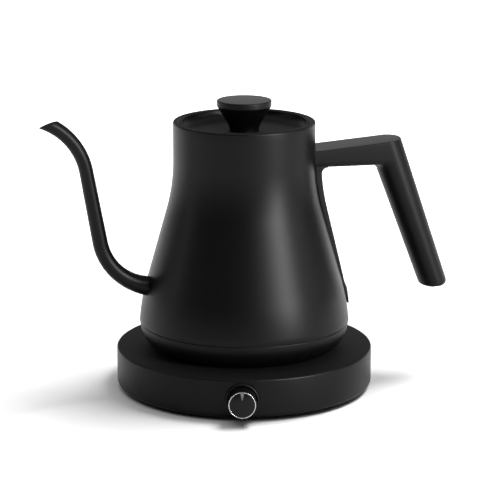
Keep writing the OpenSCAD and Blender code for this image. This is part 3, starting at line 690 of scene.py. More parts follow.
@dataclass(frozen=True)
class Dial:
    """The dial at the front: collar, knurled cap, bright ring and pointer."""

    ring_w: float = 0.5
    ring_inset: float = 0.42
    ring_h: float = 1.0
    teeth: int = 80
    tooth_h: float = 0.16
    pointer_w: float = 2.7
    pointer_tip_w: float = 0.3
    pointer_len: float = 5.3
    pointer_t: float = 0.8
    notch_w: float = 1.1
    fit: float = 0.04
    shaft_r: float = 3.06
    sleeve_r: float = 4.6
    skirt_t: float = 1.6
    hollow: float = 5.0
    face_t: float = 3.0
    press_gap: float = 0.08
    collar_t: float = 1.3

    def build(self) -> None:
        """Builds the dial's pieces."""
        low, high = in_mm("dial_cap")
        radius = (high.x - low.x) / 2
        length = high.y - low.y
        to_front = shift(0, high.y, (low.z + high.z) / 2) @ Matrix.Rotation(math.pi / 2, 4, "X")
        self._collar()
        self._cap(radius, length, to_front)
        self._ring(radius - self.ring_inset, length, to_front)
        pointer = self._wedge(radius - self.ring_inset, length, 0.0, to_front)
        dress(pointer, "dial", Slot.POINTER_METAL, ["dial_pointer"])

    def _collar(self) -> None:
        """Turns the fixed collar round the dial."""
        low, high = in_mm("dial_collar")
        outer = (high.x - low.x) / 2
        length = high.y - low.y
        inner = outer - self.collar_t
        outline = rounded([
            (inner, 0, 0), (outer, 0, 0), (outer, length, 1.0), (inner, length, 0.25),
        ])
        place = shift(0, high.y, (low.z + high.z) / 2) @ Matrix.Rotation(math.pi / 2, 4, "X")
        collar = as_object("collar", lathe(outline, 160), place)
        dress(collar, "base", Slot.BASE_MOULDING, ["dial_collar"])

    def _cap(self, radius: float, length: float, place: Matrix) -> None:
        """Turns the cap, knurls its side and cuts the pointer's slot and the notch.

        Args:
            radius: Radius of the cap.
            length: Its length.
            place: Where it goes.
        """
        edge = radius - self.ring_inset + 0.03
        seat = radius - self.ring_inset - self.ring_w - 0.03
        step = length - self.ring_h - 0.05
        knurl_low, knurl_high = 1.2, step - 0.5

        def knurl(reach: float, height: float, angle: float) -> float:
            """Sinks the grooves between the knurl's teeth."""
            if reach < radius - 0.01 or not knurl_low < height < knurl_high:
                return 0.0
            return -self.tooth_h * (0.5 - 0.5 * math.cos(self.teeth * angle))

        middle = (knurl_low + knurl_high) / 2
        side = (knurl_low, knurl_low + 0.15, middle, knurl_high - 0.15, knurl_high)
        shaft_end, skirt_r, face = length - self.face_t, radius - self.skirt_t, length - 0.06
        outline = [
            (0, shaft_end), (self.shaft_r, shaft_end), (self.shaft_r, self.press_gap),
            (self.sleeve_r, self.press_gap), (self.sleeve_r, self.hollow), (skirt_r, self.hollow),
            (skirt_r, 0), (radius - 0.3, 0), (radius - 0.1, 0.1), (radius, 0.4),
            *((radius, height) for height in side),
            (radius, length - 0.5), (radius - 0.1, length - 0.3), (edge, length - 0.03),
            (edge, step), (seat, step), (seat, length - 0.12), (seat - 0.1, face), (0, face),
        ]
        cap = as_object("dial", lathe(outline, self.teeth * 6, knurl), place)
        carve(cap, self._wedge(radius - self.ring_inset, length, self.fit, place))
        half = self.notch_w / 2
        notch = ((-half, radius + 0.3), (0, radius - self.notch_w * 0.55), (half, radius + 0.3))
        cut = loft([[Vector((x, y, z)) for x, y in notch] for z in (-1, length - 0.9)])
        carve(cap, as_object("notch", cut, place))
        dress(cap, "dial", Slot.DIAL_PLASTIC, ["dial_cap"])

    def _ring(self, radius: float, length: float, place: Matrix) -> None:
        """Turns the bright ring and cuts the pointer's gap in it.

        Args:
            radius: Outer radius of the ring.
            length: Length of the dial.
            place: Where it goes.
        """
        inner = radius - self.ring_w
        outline = rounded([
            (inner, length - self.ring_h, 0), (radius, length - self.ring_h, 0),
            (radius, length, 0.22), (inner, length, 0.12),
        ])
        ring = as_object("ring", lathe(outline, 200), place)
        carve(ring, self._wedge(radius, length, self.fit, place))
        dress(ring, "dial", Slot.CHROME, ["dial_ring"])

    def _wedge(self, radius: float, length: float, grow: float, place: Matrix) -> bpy.types.Object:
        """Makes the pointer's wedge.

        Args:
            radius: Outer radius of the ring.
            length: Length of the dial.
            grow: How much larger it is all round, for cutting its slot.
            place: Where it goes.

        Returns:
            The wedge.
        """
        half = self.pointer_w / 2 + grow
        tip = self.pointer_tip_w / 2 + grow
        foot = radius - self.pointer_len - grow
        rim = [(x, math.sqrt(radius ** 2 - x ** 2) + grow) for x in
               (half * (1 - i / 3) for i in range(7))]
        outline = [Vector((x, y, 0)) for x, y in [(-tip, foot), (tip, foot), *rim]]
        heights = (length - self.pointer_t - grow, length - 0.02 + grow * 20)
        solid = loft([[spot + Vector((0, 0, h)) for spot in outline] for h in heights])
        return as_object("pointer", solid, place)


# ---------------------------------------------------------------- kettle body


@dataclass(frozen=True)
class SideLine:
    """The kettle's side in section, from its seam to its rim."""

    neck_r: float = 46.8
    flare_drop: float = 25.4
    flare_round: float = 125.0
    slope: float = 14.86
    belly_r: float = 70.0
    belly_round: float = 130.0
    belly_drop: float = 9.1

    @property
    def seam_z(self) -> float:
        """Height of the shell's lower edge."""
        return in_mm("kettle_shell")[0].z

    @property
    def rim_z(self) -> float:
        """Height of the rim."""
        return in_mm("kettle_shell")[1].z

    def outline(self, out: float, top: float) -> list[Spot]:
        """Lays the side's points from the seam upwards.

        Args:
            out: How far outside the shell's face they lie.
            top: Height of the last point, on the neck.

        Returns:
            The points.
        """
        lean = math.degrees(math.asin(self.belly_drop / self.belly_round))
        belly = (self.belly_r - self.belly_round, self.seam_z - self.belly_drop)
        flare = (self.neck_r + self.flare_round, self.rim_z - self.flare_drop)
        return [
            *arc(belly, self.belly_round + out, lean, self.slope),
            *arc(flare, self.flare_round - out, 180 + self.slope, 180, 1.0),
            (self.neck_r + out, top),
        ]

    def radius(self, height: float) -> float:
        """Finds the shell's outer radius.

        Args:
            height: Height above the table.

        Returns:
            The radius.
        """
        lean = math.radians(self.slope)
        flare_z = self.rim_z - self.flare_drop
        flare_low_z = flare_z - self.flare_round * math.sin(lean)
        belly_z = self.seam_z - self.belly_drop
        if height > flare_z:
            return self.neck_r
        if height > flare_low_z:
            rise = flare_z - height
            return self.neck_r + self.flare_round - math.sqrt(self.flare_round ** 2 - rise ** 2)
        if height > belly_z + self.belly_round * math.sin(lean):
            reach = self.neck_r + self.flare_round * (1 - math.cos(lean))
            return reach + (flare_low_z - height) * math.tan(lean)
        rise = height - belly_z
        return self.belly_r - self.belly_round + math.sqrt(self.belly_round ** 2 - rise ** 2)


@dataclass(frozen=True)
class Body:
    """The kettle's shell, its bottom cap and the cap's screws."""

    side: SideLine
    sheet: float = 1.2
    rim_w: float = 4.2
    rim_h: float = 6.0
    rim_round: float = 1.2
    cap_foot_r: float = 60.0
    cap_wall: float = 2.0
    cap_lip: float = 0.55
    cap_gap: float = 0.4
    socket_wall: float = 2.0
    socket_wall_h: float = 7.0
    stud_ring_r: float = 57.0
    stud_r: float = 4.0
    stud_h: float = 10.9
    head_hole_r: float = 3.1
    head_hole_h: float = 5.0
    thread_r: float = 1.6
    screw_head_h: float = 1.5

    def build(self) -> None:
        """Builds the body's pieces."""
        self._shell()
        self._cap()
        self._screws()

    def _shell(self) -> None:
        """Turns the shell with its rolled rim, coated outside and bare inside."""
        rim_z = self.side.rim_z
        outer = self.side.neck_r
        mouth = outer - self.rim_w
        under = rim_z - self.rim_h
        rim = rounded([
            (outer, under, 0), (outer, rim_z, self.rim_round), (mouth, rim_z, self.rim_round),
            (mouth, under, 0.6), (outer - self.sheet, under - self.rim_w + self.sheet, 0.6),
        ], 9)
        outside = self.side.outline(0.0, under - 1)
        inside = self.side.outline(-self.sheet, under - self.rim_w)[::-1]
        low_r, low_z = outside[0]
        soft = 0.3
        foot = [(low_r - soft * 0.3, low_z + 0.02), (low_r, low_z + soft)]
        shell = as_object("shell", lathe(foot + outside[1:] + rim + inside, 288))
        self._drill_spout(shell)
        shell.data.transform(kettle_turn())
        dress(shell, "kettle", Slot.COATED_STEEL, ["kettle_shell"])
        shell.data.materials.append(FINISHES[Slot.STAINLESS].material(Slot.STAINLESS.value))
        for face in shell.data.polygons:
            height = face.center.z / MM
            reach = math.hypot(face.center.x, face.center.y) / MM
            if height < under and reach < self.side.radius(height) - self.sheet / 2:
                face.material_index = 1

    def _drill_spout(self, shell: bpy.types.Object) -> None:
        """Cuts the spout's hole in the shell.

        Args:
            shell: The shell, before it is turned.
        """
        spout = Spout(self.side)
        aim = Matrix.Rotation(math.pi / 2 - math.radians(spout.root_rise), 4, "Y")
        place = SPOUT_SIDE @ shift(spout.root_x, 0, spout.root_z) @ aim
        carve(shell, rod(spout.low_r - spout.wall, -20, 20, place))

    def _cap(self) -> None:
        """Turns the bottom cap, whose side curves in to its foot."""
        low, high = in_mm("bottom_cap")
        top_r = self.side.outline(0.0, self.side.rim_z)[0][0] - self.cap_gap
        rise = high.z - low.z
        run = top_r - self.cap_foot_r
        bend = (rise ** 2 + run ** 2) / (2 * run)
        turn = math.degrees(math.asin(rise / bend))
        centre = (top_r - bend, high.z)
        socket_r = in_mm("kettle_socket")[1].x + self.cap_gap
        collar_r = socket_r + self.socket_wall
        floor, collar_top = low.z + self.cap_wall, low.z + self.socket_wall_h
        lip_turn = math.degrees(self.cap_lip / bend)
        lip = arc((top_r - self.cap_lip, high.z - self.cap_lip), self.cap_lip, 0, 90, 12)
        outline = [
            (socket_r, low.z), (self.cap_foot_r - 1.2, low.z), (self.cap_foot_r - 0.3, low.z + 0.15),
            *arc(centre, bend, -turn + 1.5, -lip_turn, 2.0), *lip,
            *arc(centre, bend - self.cap_wall, 0, -turn + 6, 3.0),
            (self.cap_foot_r - 5, floor), (collar_r, floor),
            (collar_r, collar_top), (socket_r, collar_top),
        ]
        cap = as_object("cap", lathe(outline, 288), kettle_turn())
        for third in range(3):
            place = self._stud_place(third, 0)
            carve(cap, rod(self.stud_r, low.z + 1, low.z + self.stud_h, place), weld=True)
            carve(cap, rod(self.head_hole_r, low.z - 1, low.z + self.head_hole_h, place))
            carve(cap, rod(self.thread_r, low.z - 1, low.z + self.stud_h + 5.1, place))
        dress(cap, "kettle", Slot.BLACK_MOULDING, ["bottom_cap"])

    def _stud_place(self, third: int, height: float) -> Matrix:
        """Returns the place of one of the cap's three studs, at a height."""
        turn = Matrix.Rotation(math.radians(30 + 120 * third), 4, "Z")
        return kettle_turn() @ turn @ shift(self.stud_ring_r, 0, height)

    def _screws(self) -> None:
        """Sets the three screws under the cap."""
        low, high = in_mm("cap_screws")
        screw = Screw(2.9, self.screw_head_h, 1.4, high.z - low.z - self.screw_head_h)
        parts = []
        for third in range(3):
            place = self._stud_place(third, low.z + self.screw_head_h)
            parts.append(screw.build("screw", place @ Matrix.Rotation(math.pi, 4, "X")))
        dress(joined("cap_screws_set", parts), "kettle", Slot.ZINC_SCREW, ["cap_screws"])


# ---------------------------------------------------------------- spout


@dataclass(frozen=True)
class Spout:
    """The gooseneck: a tube along two bends and a straight, with its tip cut to a beak."""

    side: SideLine
    root_x: float = 60.0
    root_z: float = 69.3
    root_rise: float = 14.7
    root_len: float = 8.7
    low_bend: float = 38.0
    rise: float = 80.0
    length: float = 48.2
    top_bend: float = 44.5
    tip_rise: float = 26.8
    cut: float = 19.5
    root_r: float = 6.3
    low_r: float = 5.1
    top_r: float = 4.65
    wall: float = 0.9
    root_inside: float = 11.0
    root_flare: float = 0.6
    past_tip: float = 16.0
    lip_soft: float = 0.28
    sides: int = 56
    step: float = 2.0

    def build(self) -> None:
        """Builds the spout."""
        tube = bmesh.new()
        for thinner in (0.0, self.wall):
            self._skin(tube, thinner)
        tip, fall = self._tip()
        normal = Vector((math.sin(fall), 0, math.cos(fall)))
        everything = tube.verts[:] + tube.edges[:] + tube.faces[:]
        bmesh.ops.bisect_plane(
            tube, geom=everything, plane_co=tip * MM, plane_no=normal, clear_outer=True, dist=1e-8
        )
        rims = [edge for edge in tube.edges if edge.is_boundary]
        lip = [edge for edge in rims if edge.verts[0].co.x > (tip.x - 20) * MM]
        root = [edge for edge in rims if edge not in lip]
        bmesh.ops.bridge_loops(tube, edges=lip)
        bmesh.ops.bridge_loops(tube, edges=root)
        made = as_object("spout", tube, kettle_turn() @ SPOUT_SIDE)
        self._soften(made)
        dress(made, "kettle", Slot.COATED_STEEL, ["spout_tube"])

    def _soften(self, made: bpy.types.Object) -> None:
        """Rounds the lip's two edges.

        Args:
            made: The spout.
        """
        soft = made.modifiers.new("lip", "BEVEL")
        soft.width = self.lip_soft * MM
        soft.segments = 3
        soft.limit_method = "ANGLE"
        soft.angle_limit = math.radians(40)
        shaped = made.evaluated_get(bpy.context.evaluated_depsgraph_get())
        made.data = bpy.data.meshes.new_from_object(shaped)
        made.modifiers.clear()
        crease(made)

    def _tip(self) -> tuple[Vector, float]:
        """Returns the middle of the tip's cut, and its fall in radians."""
        centre = self._centres()[1]
        rise = math.radians(self.tip_rise)
        reach = Vector((-math.sin(rise), 0, math.cos(rise))) * self.top_bend
        return centre + reach, math.radians(self.cut)

    def _centres(self) -> tuple[Vector, Vector]:
        """Returns the centres of the lower and the upper bend."""
        root, rise = math.radians(self.root_rise), math.radians(self.rise)
        start = Vector((self.root_x, 0, self.root_z))
        start += Vector((math.cos(root), 0, math.sin(root))) * self.root_len
        low = start + Vector((-math.sin(root), 0, math.cos(root))) * self.low_bend
        top = low + Vector((math.sin(rise), 0, -math.cos(rise))) * (self.low_bend + self.top_bend)
        return low, top + Vector((math.cos(rise), 0, math.sin(rise))) * self.length

    def _stations(self) -> list[tuple[Vector, float, float]]:
        """Lays the stations of the tube's axis.

        Returns:
            Each station's place, rise in radians and outer radius.
        """
        low, top = self._centres()
        root = math.radians(self.root_rise)
        start = low + Vector((math.sin(root), 0, -math.cos(root))) * self.low_bend
        inside = start - Vector((math.cos(root), 0, math.sin(root))) * self.root_inside
        stations = [(inside, root, self.root_r + self.root_flare)]
        bends = (
            (low, self.low_bend, self.root_rise, self.rise, 1.0),
            (top, self.top_bend, self.rise, self.tip_rise - self.past_tip, -1.0),
        )
        for centre, bend, first, last, way in bends:
            count = math.ceil(abs(last - first) / self.step)
            for i in range(count + 1):
                rise = math.radians(first + (last - first) * i / count)
                spot = centre + Vector((math.sin(rise), 0, -math.cos(rise))) * (bend * way)
                swell = (self.root_r - self.low_r) * (1 - i / count) ** 3
                radius = self.low_r + swell if way > 0 else self.top_r
                stations.append((spot, rise, radius))
        return stations

    def _skin(self, tube: bmesh.types.BMesh, thinner: float) -> None:
        """Adds one skin of the tube, open at both ends.

        Args:
            tube: The mesh that it is added to.
            thinner: How far inside the outer skin it lies.
        """
        rings = []
        for spot, rise, radius in self._stations():
            up = Vector((-math.sin(rise), 0, math.cos(rise)))
            ring = []
            for k in range(self.sides):
                angle = math.tau * k / self.sides
                out = up * math.cos(angle) + Vector((0, 1, 0)) * math.sin(angle)
                ring.append(tube.verts.new((spot + out * (radius - thinner)) * MM))
            rings.append(ring)
        for near, far in zip(rings, rings[1:]):
            for k in range(self.sides):
                m = (k + 1) % self.sides
                tube.faces.new((near[k], near[m], far[m], far[k]))


# ---------------------------------------------------------------- handle


@dataclass(frozen=True)
class Handle:
    """The handle: a flat-topped arm, a leaning oval grip and the strip on the body's side."""

    side: SideLine
    width: float = 27.0
    top_edge: float = 0.8
    under_edge: float = 4.5
    end_edge: float = 2.2
    inner_fillet: float = 6.5
    arm_root: Spot = (52.0, 159.3)
    arm_end: Spot = (100.0, 164.2)
    arm_under_z: float = 147.9
    outer_top: Spot = (108.9, 155.0)
    outer_low: Spot = (139.6, 64.0)
    inner_top: Spot = (92.8, 136.6)
    inner_low: Spot = (120.9, 62.6)
    strip_w: float = 24.0
    strip_low_z: float = 55.0
    strip_low_t: float = 1.5
    strip_top_t: float = 4.2
    strip_gain: float = 0.7
    strip_gap: float = 0.35
    strip_fillet: float = 4.0
    screw_heights: tuple[float, ...] = (138.0, 112.0)
    screw_seat: float = 1.2
    screw_hole_r: float = 3.75
    slices: int = 80

    def build(self) -> None:
        """Builds the handle and its screws."""
        made = as_object("handle", self._arm_and_grip())
        carve(made, as_object("strip", self._strip()), weld=True)
        for height in self.screw_heights:
            aim = Matrix.Rotation(math.pi / 2, 4, "Y")
            seat = self.side.radius(height) + self.screw_seat
            carve(made, rod(self.screw_hole_r, seat, seat + 9, shift(0, 0, height) @ aim))
        made.data.transform(kettle_turn())
        dress(made, "kettle", Slot.BLACK_MOULDING, ["handle"])
        self._screws()

    def _screws(self) -> None:
        """Sets the two screws that hold the strip."""
        screw = Screw(3.5, 1.5, 1.9, 8.0, 1.0)
        parts = []
        for height in self.screw_heights:
            seat = self.side.radius(height) + self.screw_seat + 0.05
            place = kettle_turn() @ shift(seat, 0, height) @ Matrix.Rotation(math.pi / 2, 4, "Y")
            parts.append(screw.build("screw", place))
        dress(joined("strip_screws", parts), "kettle", Slot.BLACK_MOULDING, ["handle_screws"])

    def _inset(self, edge: float, radius: float) -> float:
        """Finds how far a rounded edge falls away.

        Args:
            edge: Distance from the side of the handle.
            radius: Rounding of the edge.

        Returns:
            The fall, which is 0 beyond the rounding.
        """
        if edge >= radius:
            return 0.0
        return radius - math.sqrt(radius ** 2 - (radius - edge) ** 2)

    def _arm_and_grip(self) -> bmesh.types.BMesh:
        """Lofts the arm and the grip from side to side, slice by slice."""
        last = math.radians(88)
        sections = []
        for i in range(self.slices + 1):
            lean = -last + 2 * last * i / self.slices
            across = self.width / 2 * math.sin(lean)
            outline = self._slice(across, 1 - math.cos(lean))
            sections.append([Vector((x, across, z)) for x, z in outline])
        return loft(sections)

    def _slice(self, across: float, oval: float) -> list[Spot]:
        """Draws one lengthwise slice of the arm and the grip.

        Args:
            across: The slice's distance from the middle plane.
            oval: How far the grip's faces have closed on its middle, from 0 to 1.

        Returns:
            The slice's outline, as (distance from the kettle's axis, height).
        """
        edge = self.width / 2 - abs(across)
        drop = self._inset(edge, self.top_edge)
        lift = self._inset(edge, self.under_edge)
        raise_end = self._inset(edge, self.end_edge)
        outer_top, outer_low = Vector(self.outer_top), Vector(self.outer_low)
        inner_top, inner_low = Vector(self.inner_top), Vector(self.inner_low)
        middle_top = (outer_top + self._across_grip(outer_top)) / 2
        middle_low = (outer_low + self._across_grip(outer_low)) / 2
        outer_top, outer_low = outer_top.lerp(middle_top, oval), outer_low.lerp(middle_low, oval)
        near_top = self._across_grip(Vector(self.outer_top)).lerp(middle_top, oval)
        near_low = self._across_grip(Vector(self.outer_low)).lerp(middle_low, oval)
        slope = (self.arm_end[1] - self.arm_root[1]) / (self.arm_end[0] - self.arm_root[0])
        top = (Vector((self.arm_root[0], self.arm_root[1] - drop)), Vector((1, slope)))
        outer = (outer_top, outer_low - outer_top)
        near = (near_top, near_low - near_top)
        end = (inner_low + Vector((0, raise_end)), Vector(self.outer_low) - inner_low)
        under = (Vector((0, self.arm_under_z + lift)), Vector((1, 0)))
        corner = cross(top, outer)
        heel = cross(outer, end)
        toe = cross(near, end)
        elbow = cross(near, under)
        thick = (heel - toe).length
        soft = min(self.end_edge, thick * 0.42)
        root_top, root_low = (self._root(across, z) for z in (self.arm_root[1] - drop, under[0].y))
        return rounded([
            (root_low, under[0].y, 0), (root_top, self.arm_root[1] - drop, 0),
            (corner.x, corner.y, self.top_edge), (heel.x, heel.y, soft), (toe.x, toe.y, soft),
            (elbow.x, elbow.y, self.inner_fillet),
        ])

    def _across_grip(self, outer: Vector) -> Vector:
        """Finds the grip's inner face straight across from a point of its outer face.

        Args:
            outer: The point, in the middle plane.

        Returns:
            The point of the inner face.
        """
        start = Vector(self.inner_top)
        along = (Vector(self.inner_low) - start).normalized()
        return start + along * (outer - start).dot(along)

    def _root(self, across: float, height: float) -> float:
        """Finds where the handle's root ends, just inside the shell's face.

        Args:
            across: Distance from the middle plane.
            height: Height above the table.

        Returns:
            The distance from the kettle's axis.
        """
        return math.sqrt((self.side.radius(height) - 0.5) ** 2 - across ** 2)

    def _strip(self) -> bmesh.types.BMesh:
        """Lofts the strip from side to side, with its fillet under the arm."""
        half = self.strip_w / 2
        last = math.radians(86)
        count = self.slices // 2
        sections = []
        for i in range(count + 1):
            across = half * math.sin(-last + 2 * last * i / count)
            fall = self._inset(half - abs(across), 1.0)
            sections.append(self._strip_slice(across, fall))
        return loft(sections)

    def _strip_slice(self, across: float, fall: float) -> list[Vector]:
        """Draws one lengthwise slice of the strip.

        Args:
            across: The slice's distance from the middle plane.
            fall: How far the strip's rounded edge has fallen there.

        Returns:
            The slice's points.
        """
        low = self.strip_low_z + fall
        bend_z = self.arm_under_z - self.strip_fillet
        heights = [low + (bend_z - low) * i / 24 for i in range(25)]
        face = [(self._face(z) - fall, z) for z in heights]
        reach, top = face[-1]
        fillet = arc((reach + self.strip_fillet, bend_z), self.strip_fillet, 180, 90, 12)[1:]
        lid = self.arm_under_z + 4
        back = [(self.side.radius(z) + self.strip_gap, z) for z in heights[::-1]]
        line = [*face, *fillet, (reach + self.strip_fillet, lid),
                (self.side.radius(lid) + self.strip_gap, lid), *back]
        return [Vector((math.sqrt(r ** 2 - across ** 2), across, z)) for r, z in line]

    def _face(self, height: float) -> float:
        """Finds the radius of the strip's outer face.

        Args:
            height: Height above the table.

        Returns:
            The radius.
        """
        share = (height - self.strip_low_z) / (self.arm_under_z - self.strip_low_z)
        more = (self.strip_top_t - self.strip_low_t) * max(0, share) ** self.strip_gain
        return self.side.radius(height) + self.strip_low_t + more


def cross(first: tuple[Vector, Vector], second: tuple[Vector, Vector]) -> Vector:
    """Finds where two lines in a plane meet.

    Args:
        first: A point of one line, and its direction.
        second: A point of the other, and its direction.

    Returns:
        The point where they meet.
    """
    (spot, way), (other, aim) = first, second
    gap = other - spot
    return spot + way * ((gap.x * aim.y - gap.y * aim.x) / (way.x * aim.y - way.y * aim.x))


# ---------------------------------------------------------------- lid


@dataclass(frozen=True)
class Lid:
    """The lid: a dished cover with a flared knob in its middle."""

    floor_r: float = 34.0
    sheet: float = 1.2
    foot_r: float = 9.7
    foot_bend: float = 10.0
    foot_top_z: float = 175.6
    edge_h: float = 4.0
    edge_round: float = 0.9

    def build(self) -> None:
        """Builds the lid's pieces."""
        self._dish()
        self._knob()

    def _dish(self) -> None:
        """Turns the dished cover."""
        low, high = in_mm("lid_dish")
        outer = (high.x - low.x) / 2
        floor = in_mm("lid_knob")[0].z - 0.05
        lip = outer - 1.0
        rise = high.z - 0.2 - floor
        bowl = [
            (self.floor_r + (lip - self.floor_r) * math.sin(t), floor + rise * (1 - math.cos(t)))
            for t in (math.pi / 2 * i / 16 for i in range(16))
        ]
        rim = rounded([
            (outer - self.sheet, low.z, 0.2), (outer, low.z, 0.2), (outer, high.z, 0.45),
            (lip, high.z, 0.4),
        ])
        under = floor - self.sheet
        outline = [(0, under), (outer - self.sheet, under), *rim, *bowl[::-1], (0, floor)]
        dish = as_object("lid", lathe(outline, 240), kettle_turn())
        dress(dish, "lid", Slot.COATED_STEEL, ["lid_dish"])

    def _knob(self) -> None:
        """Turns the knob: foot, flare and upright edge."""
        low, high = in_mm("lid_knob")
        outer = (high.x - low.x) / 2
        outline = rounded([
            (0, low.z, 0), (self.foot_r, low.z, 0), (self.foot_r, self.foot_top_z, self.foot_bend),
            (outer - 0.05, high.z - self.edge_h, 1.0), (outer, high.z, self.edge_round), (0, high.z, 0),
        ], 11)
        knob = as_object("knob", lathe(outline, 192), kettle_turn())
        dress(knob, "lid", Slot.BLACK_MOULDING, ["lid_knob"])


# ---------------------------------------------------------------- pieces whose CAD shape stays


@dataclass(frozen=True)
class Innards:
    """The CAD nodes that are shown as they are, and the slot of each."""

    nodes: tuple[tuple[Slot, tuple[str, ...]], ...] = (
        (Slot.DARK_PLASTIC, ("base_plate", "connector_plug", "kettle_socket", "buzzer", "lid_plug")),
        (Slot.CONTACT_BRASS, ("plug_contacts", "socket_contacts")),
        (Slot.CIRCUIT_BOARD, ("power_board", "control_board")),
        (Slot.ZINC_SCREW, ("board_screws", "encoder_body", "encoder_nut", "dial_shaft")),
        (Slot.STAINLESS, (
            "encoder_plunger", "lid_seat", "floor_plate", "temperature_probe", "handle_nuts",
            "knob_screw",
        )),
        (Slot.RELAY_PLASTIC, ("relay", "capacitor")),
        (Slot.COIL_TAPE, ("transformer",)),
        (Slot.TERMINAL_PLASTIC, ("terminal_block",)),
        (Slot.ALUMINIUM, ("heat_spreader",)),
        (Slot.ELEMENT_SHEATH, ("heating_element",)),
        (Slot.CERAMIC, ("thermal_cutout",)),
        (Slot.RED_SILICONE, ("probe_seal",)),
        (Slot.RUBBER, ("seam_gasket", "knob_washer")),
        (Slot.SILICONE, ("lid_gasket",)),
    )

    def build(self) -> None:
        """Gives each node its finish."""
        for slot, names in self.nodes:
            for name in names:
                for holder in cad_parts[name].material_slots:
                    holder.material = FINISHES[slot].material(slot.value)
                LOG.info("%s keeps its CAD shape, in %s", name, slot.value)


# ---------------------------------------------------------------- studio


class Lamp(Enum):
    """The soft boxes: place, size, watts, roll in degrees, and the kind of ray that misses each."""

    KEY = ((1.12, -1.0, 0.66), (0.4, 1.1), 50.0, 24.0, "diffuse")
    SKY = ((0.9, 0.42, 2.1), (0.95, 0.95), 58.0, 0.0, "glossy")
    SIDE = ((1.6, -0.1, 0.7), (0.3, 0.8), 4.0, 0.0, "diffuse")
    EDGE = ((-1.5, -0.05, 0.6), (0.2, 0.9), 2.0, 0.0, "diffuse")


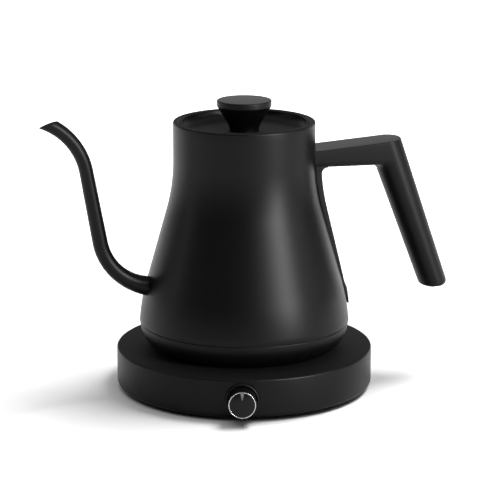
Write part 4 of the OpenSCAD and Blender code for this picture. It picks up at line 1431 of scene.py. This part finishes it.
@dataclass(frozen=True)
class Studio:
    """A plain pale floor, soft light and the camera. Sizes are in metres."""

    floor_r: float = 6.0
    front: float = 0.03
    back: float = 0.9
    overhead: float = 0.85
    glow: float = 0.8
    glow_span: Spot = (0.12, 0.5)
    eye: tuple[float, float, float] = (-0.00276, -1.4898, 0.4624)
    tilt: float = 13.719
    swing: float = 0.8
    lens: float = 173.4

    def build(self) -> None:
        """Builds the studio."""
        self._floor()
        self._backdrop()
        self._air()
        for lamp in Lamp:
            self._lamp(lamp)
        self._camera()
        bpy.context.scene.view_settings.view_transform = "Standard"

    def _floor(self) -> None:
        """Lays the floor."""
        disc = bmesh.new()
        bmesh.ops.create_circle(disc, cap_ends=True, segments=64, radius=self.floor_r)
        floor = as_object("floor", disc)
        pale = Finish((0.86, 0.86, 0.86), (0.75, 0.9), Grain.SPRAYED, 3.0, 0.0, 0.01, specular=0.1)
        paint = pale.material("floor")
        self._glow(paint.node_tree)
        floor.data.materials.append(paint)

    def _glow(self, tree: bpy.types.NodeTree) -> None:
        """Makes the floor glow away from the kettle, so that it runs into the backdrop.

        Args:
            tree: The floor's shader nodes.
        """
        where = tree.nodes.new("ShaderNodeTexCoord")
        reach = tree.nodes.new("ShaderNodeVectorMath")
        reach.operation = "LENGTH"
        tree.links.new(where.outputs["Object"], reach.inputs[0])
        level = self._ramp(tree, reach.outputs["Value"], self.glow_span, (0.0, self.glow))
        shader = tree.nodes["Principled BSDF"]
        shader.inputs["Emission Color"].default_value = (1, 1, 1, 1)
        tree.links.new(level, shader.inputs["Emission Strength"])

    def _backdrop(self) -> None:
        """Hangs a plain white dome that only the camera sees."""
        dome = bmesh.new()
        bmesh.ops.create_uvsphere(dome, u_segments=48, v_segments=24, radius=self.floor_r)
        shade = bpy.data.materials.new("finish_backdrop")
        shade.use_nodes = True
        shade.node_tree.nodes.clear()
        glow = shade.node_tree.nodes.new("ShaderNodeEmission")
        target = shade.node_tree.nodes.new("ShaderNodeOutputMaterial")
        shade.node_tree.links.new(glow.outputs["Emission"], target.inputs["Surface"])
        backdrop = as_object("backdrop", dome)
        backdrop.data.materials.append(shade)
        for ray in ("diffuse", "glossy", "transmission", "volume_scatter", "shadow"):
            setattr(backdrop, f"visible_{ray}", False)

    def _air(self) -> None:
        """Lights the room: dark in front, bright behind and overhead."""
        world = bpy.data.worlds.new("room")
        world.use_nodes = True
        bpy.context.scene.world = world
        tree = world.node_tree
        way = tree.nodes.new("ShaderNodeTexCoord")
        axes = tree.nodes.new("ShaderNodeSeparateXYZ")
        tree.links.new(way.outputs["Generated"], axes.inputs["Vector"])
        level = self._ramp(tree, axes.outputs["Y"], (0.45, 0.95), (self.front, self.back))
        lift = self._ramp(tree, axes.outputs["Z"], (0.45, 0.9), (0.0, self.overhead))
        total = tree.nodes.new("ShaderNodeMath")
        total.operation = "ADD"
        tree.links.new(level, total.inputs[0])
        tree.links.new(lift, total.inputs[1])
        tree.links.new(total.outputs["Value"], tree.nodes["Background"].inputs["Strength"])
        tree.nodes["Background"].inputs["Color"].default_value = (1, 1, 1, 1)

    def _ramp(
        self, tree: bpy.types.NodeTree, value: bpy.types.NodeSocket, span: Spot, levels: Spot
    ) -> bpy.types.NodeSocket:
        """Turns a direction into a level of light.

        Args:
            tree: The world's nodes.
            value: The direction's part along one axis.
            span: Where the change starts and ends.
            levels: The light before and after it.

        Returns:
            The level.
        """
        ramp = tree.nodes.new("ShaderNodeMapRange")
        ramp.interpolation_type = "SMOOTHSTEP"
        ramp.inputs["From Min"].default_value, ramp.inputs["From Max"].default_value = span
        ramp.inputs["To Min"].default_value, ramp.inputs["To Max"].default_value = levels
        tree.links.new(value, ramp.inputs["Value"])
        return ramp.outputs["Result"]

    def _lamp(self, lamp: Lamp) -> None:
        """Hangs one soft box, facing the kettle.

        Args:
            lamp: Which soft box.
        """
        place, size, watts, roll, unseen = lamp.value
        light = bpy.data.lights.new(lamp.name.lower(), "AREA")
        light.shape = "RECTANGLE"
        light.size, light.size_y = size
        light.energy = watts
        holder = bpy.data.objects.new(lamp.name.lower(), light)
        holder.location = place
        aim = Vector((0, 0, 0.1)) - Vector(place)
        spun = Matrix.Rotation(math.radians(roll), 4, "Z")
        holder.rotation_euler = (aim.to_track_quat("-Z", "Y").to_matrix().to_4x4() @ spun).to_euler()
        setattr(holder, f"visible_{unseen}", False)
        bpy.context.scene.collection.objects.link(holder)

    def _camera(self) -> None:
        """Sets up the camera."""
        camera = bpy.data.objects.new("camera", bpy.data.cameras.new("camera"))
        camera.data.lens = self.lens
        camera.data.sensor_width = 36.0
        camera.data.clip_start = 0.05
        camera.data.clip_end = 30.0
        swing = math.radians(self.swing)
        camera.location = Matrix.Rotation(swing, 4, "Z") @ Vector(self.eye)
        camera.rotation_euler = (math.radians(90 - self.tilt), 0, swing)
        bpy.context.scene.collection.objects.link(camera)
        bpy.context.scene.camera = camera


def main() -> None:
    """Builds the kettle's pieces and the studio."""
    logging.basicConfig(level=logging.INFO, format="%(name)s: %(message)s")
    side = SideLine()
    kettle = (Body(side), Spout(side), Handle(side), Lid())
    for assembly in (BaseUnit(), Dial(), *kettle, Innards(), Studio()):
        LOG.info("building %s", type(assembly).__name__)
        assembly.build()


if __name__ == "__main__":
    main()
